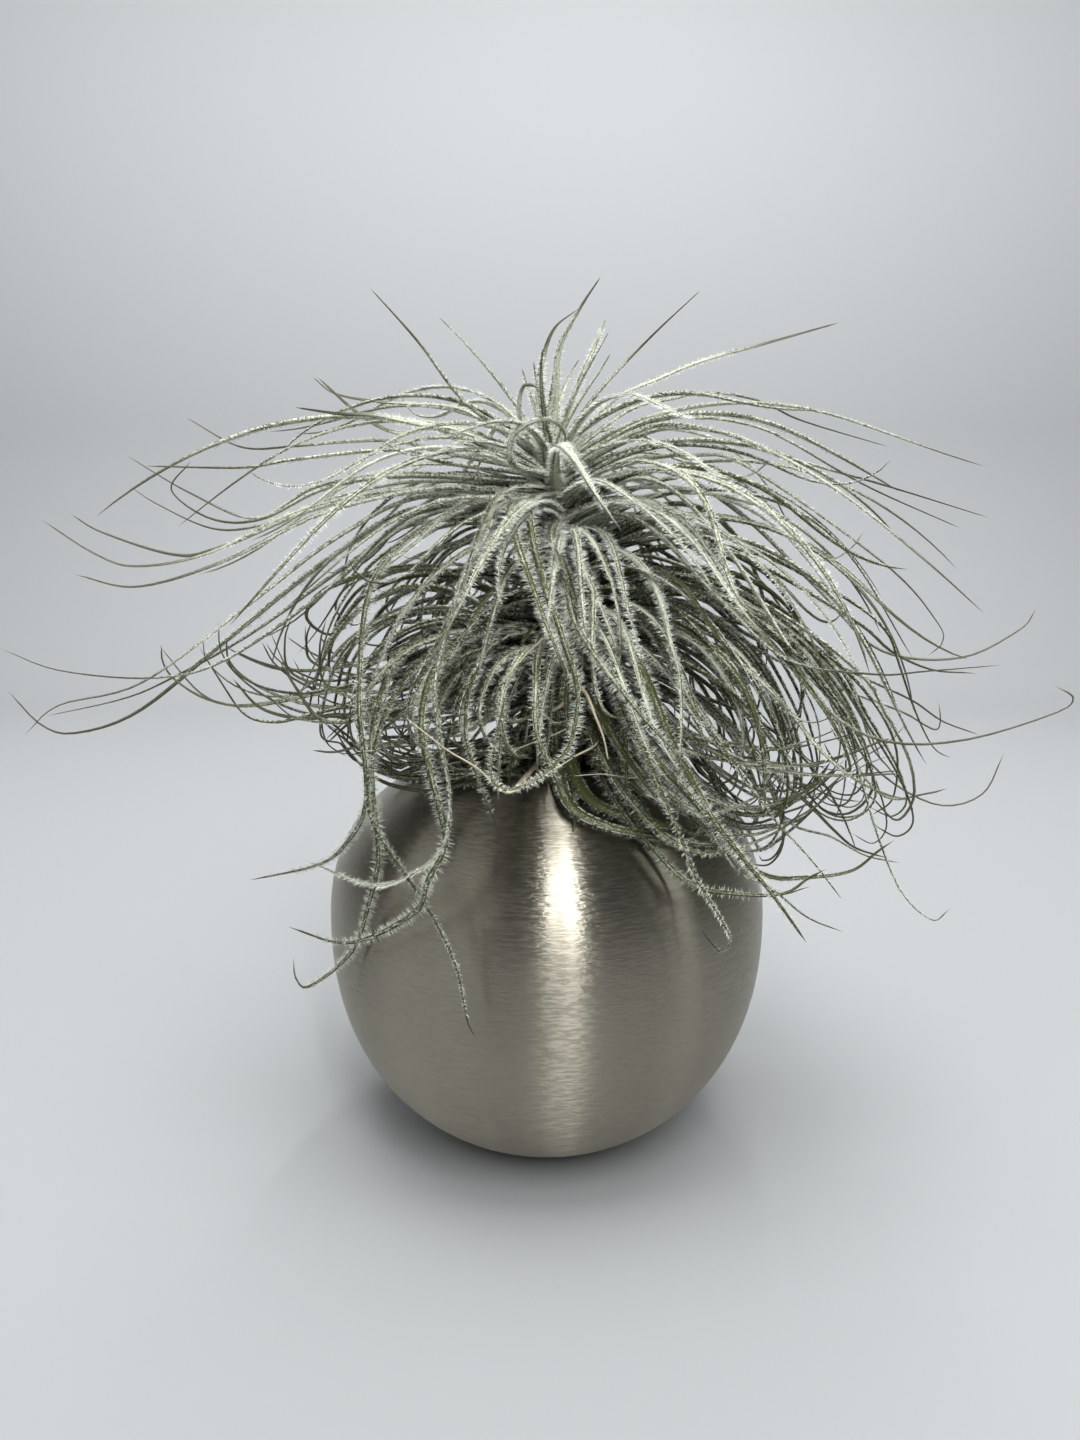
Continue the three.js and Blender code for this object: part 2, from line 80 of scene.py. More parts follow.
class Socket:
    """A node's output or a plain number, so that shader maths reads as Python expressions."""

    def __init__(self, material, value):
        self.material = material
        self.value = value

    def _math(self, operation, *values):
        return self.material.node("ShaderNodeMath", {"operation": operation}, dict(enumerate(values)))

    def __add__(self, other):
        return self._math("ADD", self, other)

    def __sub__(self, other):
        return self._math("SUBTRACT", self, other)

    def __rsub__(self, other):
        return self._math("SUBTRACT", other, self)

    def __mul__(self, other):
        return self._math("MULTIPLY", self, other)

    __radd__ = __add__
    __rmul__ = __mul__

    def band(self, low, high):
        """0 below low, 1 above high, and a smooth rise between them."""
        settings = {"interpolation_type": "SMOOTHSTEP"}
        return self.material.node("ShaderNodeMapRange", settings, {"Value": self, 1: low, 2: high})


class Material:
    """A new node material with one Principled shader, whose nodes all come from the method node."""

    def __init__(self, name, **constants):
        self.data = bpy.data.materials.new(name)
        self.data.use_nodes = True
        self.nodes = self.data.node_tree.nodes
        self.shader = self.nodes["Principled BSDF"]
        for socket, value in constants.items():
            self.shader.inputs[socket.replace("_", " ")].default_value = value

    def node(self, kind, settings=None, sockets=None, output=0):
        """One node: its settings first, then the values or links of its sockets. Gives one output."""
        made = self.nodes.new(kind)
        for name, value in (settings or {}).items():
            setattr(made, name, value)
        for key, value in (sockets or {}).items():
            self.feed(made.inputs[key], value)
        return Socket(self, made.outputs[output])

    def feed(self, socket, value):
        """A link or a constant for one socket."""
        if isinstance(value, Socket):
            self.data.node_tree.links.new(value.value, socket)
        elif socket.type == "RGBA":
            socket.default_value = (*value, 1)
        else:
            socket.default_value = value

    def set(self, **sockets):
        """Values or links for the shader's own sockets."""
        for name, value in sockets.items():
            self.feed(self.shader.inputs[name.replace("_", " ")], value)

    def place(self):
        """The point on the object, in metres."""
        return self.node("ShaderNodeTexCoord", output="Object")

    def stretched(self, point, scales):
        """A point scaled by its own number along each axis."""
        return self.node("ShaderNodeVectorMath", {"operation": "MULTIPLY"}, {0: point, 1: scales})

    def noise(self, point, scale=1.0, detail=2.0, roughness=0.5):
        """Soft noise from 0 to 1 at a point."""
        values = {"Vector": point, "Scale": scale, "Detail": detail, "Roughness": roughness}
        return self.node("ShaderNodeTexNoise", None, values)

    def attribute(self, name):
        """A number that the mesh carries at each point."""
        return self.node("ShaderNodeAttribute", {"attribute_name": name}, output="Fac")

    def blend(self, factor, first, second):
        """Two colours blended by a factor."""
        return self.node("ShaderNodeMix", {"data_type": "RGBA"}, {0: factor, 6: first, 7: second}, output=2)

    def bump(self, height, distance, strength=1.0):
        """A relief whose height of 1 stands this many metres high."""
        self.set(Normal=self.node("ShaderNodeBump", None, {
            "Strength": strength, "Distance": distance, "Height": height}))


def new_piece(name, points, faces, material, smooth=True, numbers=None):
    """A mesh object from points in millimetres and faces of one size, at the origin and unturned.

    numbers holds named values, one for each point.
    """
    mesh = bpy.data.meshes.new(name)
    sides = faces.shape[1]
    mesh.vertices.add(len(points))
    mesh.vertices.foreach_set("co", (np.asarray(points, np.float32) / 1000).ravel())
    mesh.loops.add(faces.size)
    mesh.loops.foreach_set("vertex_index", faces.astype(np.int32).ravel())
    mesh.polygons.add(len(faces))
    mesh.polygons.foreach_set("loop_start", np.arange(0, faces.size, sides, dtype=np.int32))
    mesh.update(calc_edges=True)
    mesh.polygons.foreach_set("use_smooth", np.full(len(faces), smooth))
    for key, values in (numbers or {}).items():
        layer = mesh.attributes.new(key, "FLOAT", "POINT")
        layer.data.foreach_set("value", np.asarray(values, np.float32).ravel())
    mesh.validate()
    mesh.materials.append(material.data)
    piece = bpy.data.objects.new(name, mesh)
    bpy.context.collection.objects.link(piece)
    return piece


def grid_faces(rows, columns, closed_columns=False):
    """Four-sided faces of a grid whose points run along a row first.

    A grid whose rows are closed is a tube, and a strip of faces across its first row and its last closes it.
    """
    across = columns if closed_columns else columns - 1
    row, column = np.meshgrid(np.arange(rows - 1), np.arange(across), indexing="ij")
    beside = (column + 1) % columns
    corners = [row * columns + column, row * columns + beside,
               (row + 1) * columns + beside, (row + 1) * columns + column]
    faces = np.stack(corners, axis=-1).reshape(-1, 4)
    if not closed_columns:
        return faces
    k = np.arange(columns // 2 - 1)
    end = np.stack([k, k + 1, columns - 2 - k, columns - 1 - k], axis=-1)
    return np.concatenate([faces, end[:, ::-1], end + (rows - 1) * columns])


def studio_sweep():
    """The floor from front to back, a quarter circle up, then the wall: one profile drawn sideways."""
    turn = np.linspace(0, np.pi / 2, SWEEP_STEPS)
    wall = SWEEP_START + SWEEP_RADIUS
    depth = np.concatenate([[FLOOR_FRONT], SWEEP_START + SWEEP_RADIUS * np.sin(turn), [wall]])
    height = np.concatenate([[0], SWEEP_RADIUS * (1 - np.cos(turn)), [SWEEP_TOP]]) - FLOOR_DROP
    sides = np.array([SWEEP_HALF_WIDTH, -SWEEP_HALF_WIDTH])
    points = np.stack(np.broadcast_arrays(sides[None, :], depth[:, None], height[:, None]), axis=-1)
    return points.reshape(-1, 3), grid_faces(len(depth), 2)


studio_paint = Material("studio_paint", Roughness=0.85)
studio_paint.set(Base_Color=STUDIO_PAINT)
studio = new_piece("studio_sweep", *studio_sweep(), studio_paint)

world = bpy.data.worlds.new("room")
world.use_nodes = True
world.node_tree.nodes["Background"].inputs["Color"].default_value = (*ROOM_LIGHT, 1)
bpy.context.scene.world = world

# name, point aimed at, turn from the camera's side to the right and angle above level (degrees), distance,
# width and height (mm), watts, whether the steel mirrors it
PLANT_MIDDLE = (0.0, 0.0, 130.0)
WALL_MIDDLE = (0.0, 860.0, 160.0)
LAMPS = (
    ("near_strip", PLANT_MIDDLE, 3.5, 44, 1000, 26, 560, 2.5, True),
    ("right_strip", PLANT_MIDDLE, 14, 42, 1000, 32, 600, 4.4, True),
    ("left_soft", PLANT_MIDDLE, -62, 30, 1200, 1300, 800, 3.0, True),
    ("right_soft", PLANT_MIDDLE, 75, 30, 1200, 50, 800, 0.9, True),
    ("back_strip", PLANT_MIDDLE, 168, 58, 1000, 20, 420, 2.2, True),
    ("overhead", PLANT_MIDDLE, 0, 84, 1100, 700, 700, 16.5, False),
    ("front_fill", PLANT_MIDDLE, 22, 50, 1100, 1000, 900, 4.8, False),
    ("wall_wash", WALL_MIDDLE, 0, 52, 700, 1600, 300, 5.6, False),
)


def add_lamp(name, aim, turn, rise, distance, width, height, power, mirrored):
    """A soft lamp on a sphere round the point that it is aimed at."""
    turn, rise = np.radians([turn, rise])
    outward = np.array([np.sin(turn) * np.cos(rise), -np.cos(turn) * np.cos(rise), np.sin(rise)])
    data = bpy.data.lights.new(name, "AREA")
    data.shape = "RECTANGLE"
    data.size = width / 1000
    data.size_y = height / 1000
    data.energy = power
    lamp = bpy.data.objects.new(name, data)
    lamp.location = (np.array(aim) + distance * outward) / 1000
    lamp.rotation_euler = (np.pi / 2 - rise, 0, turn)
    lamp.visible_glossy = mirrored
    bpy.context.collection.objects.link(lamp)


for row in LAMPS:
    add_lamp(*row)


# ---------------------------------------------------------------- ball vase
# A slightly squashed ball spun from stainless sheet and brushed round and round on the lathe. Its wall is
# 1 mm thick, it stands on its own flat base, and the mouth's edge is rolled outwards into a small bead.
BALL_RADIUS = 60.0
WIDEST_HEIGHT = 62.0
UPPER_RISE = 46.0
UPPER_POWER = 2.43
LOWER_POWER = 2.19
BASE_RADIUS = 20.0
MOUTH_RADIUS = 21.0
WALL = 1.0
LIP_RADIUS = 0.9
BASE_ROUNDING = 1.5
VASE_SIDES = 144
ARC_STEPS = 27
LIP_STEPS = 7
FLAT_STEPS = 6
POLE_RADIUS = 0.01
STEEL = (0.396, 0.371, 0.304)
STEEL_DARK = (0.304, 0.284, 0.23)
STROKE_LENGTH = 26.0
STROKE_WIDTH = 0.16
DASH_LENGTH = 3.2
DASH_WIDTH = 0.6

LOWER_DROP = WIDEST_HEIGHT / (1 - (BASE_RADIUS / BALL_RADIUS) ** LOWER_POWER) ** (1 / LOWER_POWER)


def wall_arc(upper, inset, radius_from, radius_to):
    """Part of a superellipse: radius and height are powers of the cosine and sine of one angle."""
    across = BALL_RADIUS - inset
    power = UPPER_POWER if upper else LOWER_POWER
    rise = UPPER_RISE - inset if upper else inset - LOWER_DROP
    ends = [np.arccos(min(1.0, (radius / across) ** (power / 2))) for radius in (radius_from, radius_to)]
    angle = np.linspace(*ends, ARC_STEPS)
    return np.column_stack([across * np.cos(angle) ** (2 / power),
                            WIDEST_HEIGHT + rise * np.sin(angle) ** (2 / power)])


def vase_profile():
    """The wall's outline from the centre under the base, up the outside, round the lip and down inside."""
    inside = BALL_RADIUS - WALL
    outer_low = wall_arc(False, 0, BASE_RADIUS, BALL_RADIUS)
    outer_high = wall_arc(True, 0, BALL_RADIUS, MOUTH_RADIUS + LIP_RADIUS)
    inner_high = wall_arc(True, WALL, MOUTH_RADIUS, inside)
    inner_low = wall_arc(False, WALL, inside, BASE_RADIUS)
    turn = np.pi * np.arange(1, LIP_STEPS + 1) / (LIP_STEPS + 1)
    lip = np.column_stack([MOUTH_RADIUS + LIP_RADIUS / 2 + LIP_RADIUS * np.cos(turn),
                           outer_high[-1, 1] + LIP_RADIUS * np.sin(turn)])
    under = np.column_stack([np.linspace(POLE_RADIUS, BASE_RADIUS - BASE_ROUNDING, FLAT_STEPS),
                             np.zeros(FLAT_STEPS)])
    floor = np.column_stack([np.linspace(BASE_RADIUS, POLE_RADIUS, FLAT_STEPS + 1)[1:],
                             np.full(FLAT_STEPS, inner_low[-1, 1])])
    return np.concatenate([under, outer_low, outer_high[1:], lip, inner_high, inner_low[1:], floor])


def spun(profile, sides):
    """A profile of radius and height turned once round the upright axis, with the length run along it."""
    turn = 2 * np.pi * np.arange(sides) / sides
    radius, height = profile[:, :1], profile[:, 1:]
    points = np.stack(np.broadcast_arrays(radius * np.cos(turn), radius * np.sin(turn), height), axis=-1)
    run = np.concatenate([[0], np.cumsum(np.hypot(*np.diff(profile, axis=0).T))])
    return points.reshape(-1, 3), grid_faces(len(profile), sides, closed_columns=True), np.repeat(run, sides)


def brushed_steel():
    """Steel with fine strokes round the ball: noise drawn long round the axis and short along the profile."""
    steel = Material("brushed_steel", Metallic=1.0, Anisotropic=1.0, Anisotropic_Rotation=0.25)
    place = steel.place()
    run = steel.attribute("profile_run")
    right = steel.node("ShaderNodeSeparateXYZ", None, {0: place})
    back = steel.node("ShaderNodeSeparateXYZ", None, {0: place}, output=1)

    def strokes(length, width, detail):
        """Noise with spots of this length round the ball and this width along its profile, in millimetres."""
        point = steel.node("ShaderNodeCombineXYZ", None, {
            0: right * (1000 / length), 1: back * (1000 / length), 2: run * (1 / width)})
        return steel.noise(point, detail=detail, roughness=0.6)

    fine = strokes(STROKE_LENGTH, STROKE_WIDTH, 3.0)
    dashes = strokes(DASH_LENGTH, DASH_WIDTH, 2.0).band(0.36, 0.66)
    cloudy = steel.noise(place, scale=38.0, detail=3.0)
    wear = (fine * 0.4 + dashes * 0.2 + cloudy * 0.4).band(0.3, 0.7)
    steel.set(Base_Color=steel.blend(wear, STEEL_DARK, STEEL),
              Roughness=0.26 + fine * 0.05 + dashes * 0.09 + cloudy * 0.06)
    steel.bump(fine * 0.15 + dashes, 0.00003, 0.8)
    return steel


vase_points, vase_faces, vase_run = spun(vase_profile(), VASE_SIDES)
vase = new_piece("spun_ball_vase", vase_points, vase_faces, brushed_steel(),
                 numbers={"profile_run": vase_run})
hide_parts("ball_vase")
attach(vase, "root")


# ---------------------------------------------------------------- stem
# The stem is a finger-thick bundle of old leaf bases, slightly bowed, whose foot ends inside the mouth. The
# leaves are grown onto it, and almost all of it is hidden by them.
STEM_FOOT = 92.0
STEM_TOP = 190.0
STEM_BOW_RIGHT = 6.0
STEM_BOW_FRONT = 1.5
STEM_FOOT_RADIUS = 7.5
STEM_CROWN_RADIUS = 3.5
STEM_SIDES = 40
STEM_RINGS = 90
SHEATH_ROWS = 26.0
SHEATH_RELIEF = 0.7
STEM_BARK = (0.09, 0.092, 0.062)
STEM_SHEATH = (0.33, 0.34, 0.27)


def stem_line(height):
    """The stem's centre at a height: it bows once to the right and a little to the front."""
    bow = np.sin(np.pi * np.clip((height - STEM_FOOT) / (STEM_TOP - STEM_FOOT), 0, 1))
    return np.stack([STEM_BOW_RIGHT * bow, -STEM_BOW_FRONT * bow, height + 0 * bow], axis=-1)


def stem_surface():
    """A tapering round stem with overlapping sheath scales: each row's relief rises, then drops at its edge.

    The rows wind up the stem, so a scale's phase is its height in rows plus three times its turn.
    """
    height, turn = np.meshgrid(np.linspace(STEM_FOOT, STEM_TOP, STEM_RINGS),
                               2 * np.pi * np.arange(STEM_SIDES) / STEM_SIDES, indexing="ij")
    part = (height - STEM_FOOT) / (STEM_TOP - STEM_FOOT)
    phase = (part * SHEATH_ROWS + 3 * turn / (2 * np.pi)) % 1
    radius = STEM_FOOT_RADIUS + (STEM_CROWN_RADIUS - STEM_FOOT_RADIUS) * part + SHEATH_RELIEF * (phase - 0.5)
    radius = radius * np.clip(1.2 * np.sqrt(1 - np.abs(2 * part - 1) ** 12), 0.02, 1)
    spoke = np.stack([np.cos(turn), np.sin(turn), 0 * turn], axis=-1)
    return (stem_line(height) + radius[..., None] * spoke).reshape(-1, 3)


bark = Material("stem_sheaths", Roughness=0.85)
bark_grain = bark.noise(bark.stretched(bark.place(), (900, 900, 220)), detail=4.0)
bark.set(Base_Color=bark.blend(bark_grain.band(0.35, 0.65), STEM_BARK, STEM_SHEATH))
bark.bump(bark_grain, 0.0003)
stem = new_piece("stem", stem_surface(), grid_faces(STEM_RINGS, STEM_SIDES, closed_columns=True), bark)


# ---------------------------------------------------------------- leaf lines
# Every leaf is one long channelled blade. Those that make the plant's outline follow stops seen in the
# photograph. The rest grow by one rule in tiers up the stem, each a golden angle on from the last.
RULE_RINGS = 26
TRACED_RINGS = 40
RULE_STEPS = 24
GOLDEN_ANGLE = 137.508
VASE_GAP = 1.7
SUNK_PART = 0.14
BEND_WEIGHT = 14.0
CLEARING_PASSES = 3
LEAST_REACH = 0.3
STOP_STEPS = 16
HEADING_SPREAD = 14
LAUNCH_SPREAD = 9
LENGTH_SPREAD = 0.16
DROOP_SPREAD = 0.12
SWEEP_MOST = 34
SWEEP_POWER = 1.5
WANDER_WAVES = 1.1
UPTURN_POWER = 1.5
TIP_FROM = 0.68
TIP_SHARE = 0.32
TIP_POWER = 1.4
NEIGHBOUR_TURNS = (12.0, -17.0)
NEIGHBOUR_TURN_SPREAD = 9
NEIGHBOUR_SHARE = 0.9
NEIGHBOUR_SHARE_SPREAD = 0.12
NEIGHBOUR_RISE_SPREAD = 0.22

# first leaf's number, count, then pairs from the tier's bottom to its top: height on the stem, launch above
# level, length, droop; the most that a tip turns up, how far the tier leans to the right, the power by which
# the droop grows, how far leaves in front are parted to the sides, and how far headings wander
TIERS = {
    "skirt": (0, 13, (107, 138), (10, 40), (58, 96), (90, 130), 80, 0.26, 1.0, 0.6, 0),
    "middle": (30, 22, (136, 162), (30, 44), (96, 112), (116, 128), 90, 0.2, 0.85, 0.6, 0),
    "crown": (68, 36, (162, 184), (32, 46), (112, 126), (116, 92), 60, 0.04, 0.85, 0.2, 0),
    "heart": (104, 11, (183, 189), (60, 86), (56, 16), (40, 4), 20, 0.0, 0.85, 0.0, 0),
    "inner_skirt": (200, 72, (113, 144), (10, 40), (50, 86), (90, 150), 60, 0.3, 1.15, 0.8, 20),
    "nest": (500, 50, (108, 152), (0, 50), (34, 74), (70, 120), 30, 0.3, 1.1, 0.9, 20),
    "curled": (300, 66, (122, 156), (34, 56), (76, 108), (150, 185), 30, 0.28, 1.15, 1.3, 20),
    "inner_middle": (400, 70, (138, 172), (24, 44), (92, 110), (116, 130), 150, 0.24, 1.0, 1.0, 20),
    "inner_crown": (680, 40, (160, 186), (28, 52), (92, 96), (112, 96), 110, 0.04, 0.85, 0.2, 20),
}
FRONT_SHORTENING = 0.3
BACK_SHORTENING = 0.08

# leaves that make the outline: a row is the root's height on the stem, then x, y and z of each stop (mm)
OUTLINE_LEAVES = (
    (187, -13, 4, 195, -23, 8, 203, -34, 12, 217, -47, 16, 231),
    (186, -17, 10, 197, -27, 16, 201, -47, 26, 203, -61, 34, 206, -68, 38, 211),
    (185, -22, 8, 191, -30, 12, 195, -41, 18, 194, -52, 24, 199, -65, 30, 210),
    (184, -22, -4, 193, -30, -6, 194, -42, -12, 196, -50, -16, 196, -60, -22, 197),
    (183, -26, -2, 188, -39, 0, 191, -53, 4, 191, -68, 8, 190, -83, 12, 190, -99, 18, 198),
    (182, -25, -6, 185, -38, -10, 188, -61, -22, 185, -72, -26, 183, -92, -34, 183),
    (181, -35, 4, 183, -50, 8, 182, -64, 10, 179, -80, 12, 171, -99, 16, 178, -117, 20, 188),
    (180, -34, -4, 182, -56, -6, 179, -73, -8, 171, -85, -10, 171, -94, -12, 178, -88, -14, 185),
    (179, -34, 10, 181, -60, 14, 176, -80, 18, 169, -95, 22, 168, -112, 26, 175, -120, 28, 180),
    (178, -30, -8, 179, -59, -16, 174, -82, -24, 163, -98, -28, 160, -107, -30, 163, -118, -32, 171),
    (177, -31, 2, 178, -60, 4, 174, -89, 8, 163, -103, 12, 161, -124, 16, 167, -134, 20, 172),
    (176, -25, -12, 179, -54, -18, 173, -79, -22, 161, -99, -26, 155, -113, -28, 158),
    (175, -33, -4, 173, -56, -8, 154, -82, -12, 136, -100, -14, 131, -124, -16, 133, -138, -18, 139),
    (174, -34, 6, 174, -60, 12, 160, -91, 18, 137, -120, 22, 115, -140, 24, 108, -151, 26, 110,
     -161, 28, 120),
    (173, -30, -10, 177, -52, -16, 167, -73, -22, 151, -99, -28, 132, -118, -32, 127, -126, -34, 120),
    (171, -35, 10, 170, -55, 18, 159, -88, 28, 137, -116, 34, 122, -131, 36, 116, -156, 40, 110),
    (136, -34, 0, 144, -54, 6, 138, -70, 12, 123, -88, 16, 118, -100, 18, 121, -112, 20, 135),
    (188, 2, -2, 202, 3, -4, 213, 8, -6, 222, 13, -8, 229),
    (187, -2, 4, 202, -1, 8, 212, 2, 10, 220, 8, 12, 225),
    (186, 12, 6, 202, 20, 12, 211, 30, 18, 221, 42, 24, 232),
    (185, 16, -4, 200, 27, -8, 205, 38, -12, 209, 51, -16, 212, 68, -22, 216),
    (184, 21, 10, 199, 34, 16, 203, 46, 20, 205, 60, 24, 203, 72, 26, 198, 98, 30, 191),
    (183, 24, -6, 195, 37, -10, 196, 49, -14, 194, 58, -18, 190, 76, -24, 179, 97, -30, 169),
    (182, 25, 4, 193, 37, 8, 195, 50, 10, 193, 64, 14, 188, 95, 20, 180, 127, 26, 171),
    (181, 23, -12, 193, 37, -18, 193, 51, -24, 188, 69, -30, 177, 87, -36, 162, 100, -40, 150),
    (180, 25, -4, 186, 37, -8, 187, 50, -12, 184, 84, -18, 160, 97, -20, 146, 98, -22, 141, 94, -24, 138),
    (178, 30, 8, 184, 53, 14, 173, 78, 20, 151, 98, 24, 133, 123, 28, 130, 142, 32, 138, 147, 34, 144),
    (176, 26, -10, 181, 43, -18, 166, 58, -26, 142, 69, -30, 125, 83, -32, 118, 101, -34, 119, 120, -37, 126,
     123, -39, 130, 118, -40, 133),
    (174, 27, 4, 176, 50, 8, 157, 71, 10, 129, 87, 12, 109, 100, 14, 96, 116, 16, 88, 129, 18, 91,
     135, 20, 103),
    (172, 23, -14, 171, 42, -26, 152, 58, -30, 138, 78, -34, 135, 89, -36, 136, 105, -40, 138),
    (182, -8, -16, 184, -9, -19, 189, -7, -20, 192, -3, -21, 194, 1, -22, 194, 4, -22, 191, 4, -22, 187),
    (186, -5, -4, 192, -7, -7, 198, -6, -10, 203, -3, -11, 203, -2, -12, 201),
)

# the leaves that hang in front of the stem and over the vase, hairy to their ends
FRONT_LEAVES = (
    (150, 34, -14, 151, 53, -20, 139, 67, -22, 131, 75, -24, 118, 84, -28, 91, 90, -30, 78, 97, -32, 72,
     101, -32, 75),
    (148, 23, -24, 147, 33, -38, 129, 40, -44, 120, 51, -48, 105, 61, -50, 94, 68, -52, 85),
    (146, 20, -30, 140, 28, -46, 122, 36, -54, 107, 41, -56, 100, 50, -58, 89, 58, -60, 78),
    (144, 16, -38, 136, 22, -54, 119, 29, -60, 103, 33, -60, 93, 41, -58, 79, 39, -58, 75, 34, -58, 81),
    (142, 13, -30, 138, 21, -48, 122, 32, -54, 110, 44, -52, 95, 53, -50, 86, 62, -46, 86),
    (178, -4, -20, 176, -4, -30, 169, -1, -40, 157, 3, -50, 146, 6, -58, 137, 6, -62, 131, 4, -66, 124,
     -2, -70, 119, -8, -72, 117, -12, -70, 119, -11, -66, 127, -9, -62, 135),
    (176, -8, -22, 175, -8, -34, 169, -4, -46, 158, 0, -56, 148, 4, -60, 138),
    (172, 1, -22, 167, 4, -38, 157, 6, -48, 149, 11, -54, 141, 20, -58, 130, 31, -60, 118),
    (179, -10, -24, 178, -15, -38, 170, -19, -50, 157, -23, -58, 148, -29, -64, 136),
    (177, -11, -22, 175, -15, -34, 167, -19, -44, 159, -24, -62, 139, -23, -66, 126, -21, -68, 114,
     -23, -66, 102, -31, -60, 94, -41, -50, 88, -59, -36, 89),
    (175, -17, -10, 176, -27, -18, 171, -35, -26, 165, -42, -34, 154, -43, -46, 131, -42, -46, 114,
     -43, -44, 104, -48, -38, 95, -57, -30, 86, -78, -20, 78),
    (137, -11, -20, 145, -15, -34, 139, -18, -44, 133, -18, -56, 125, -15, -64, 117, -11, -66, 107),
    (136, -14, -24, 144, -25, -40, 139, -28, -54, 128, -25, -62, 116, -22, -66, 104, -26, -66, 95,
     -30, -60, 85, -48, -44, 71, -65, -34, 71),
    (138, -25, -10, 145, -38, -20, 136, -42, -32, 123, -41, -44, 112, -39, -50, 96, -42, -46, 83,
     -48, -40, 67, -60, -34, 55, -64, -32, 56, -65, -30, 61),
    (135, -22, -16, 141, -36, -32, 131, -41, -44, 116, -40, -52, 104, -29, -62, 91, -24, -64, 83,
     -20, -66, 74, -18, -66, 62, -16, -66, 58),
)

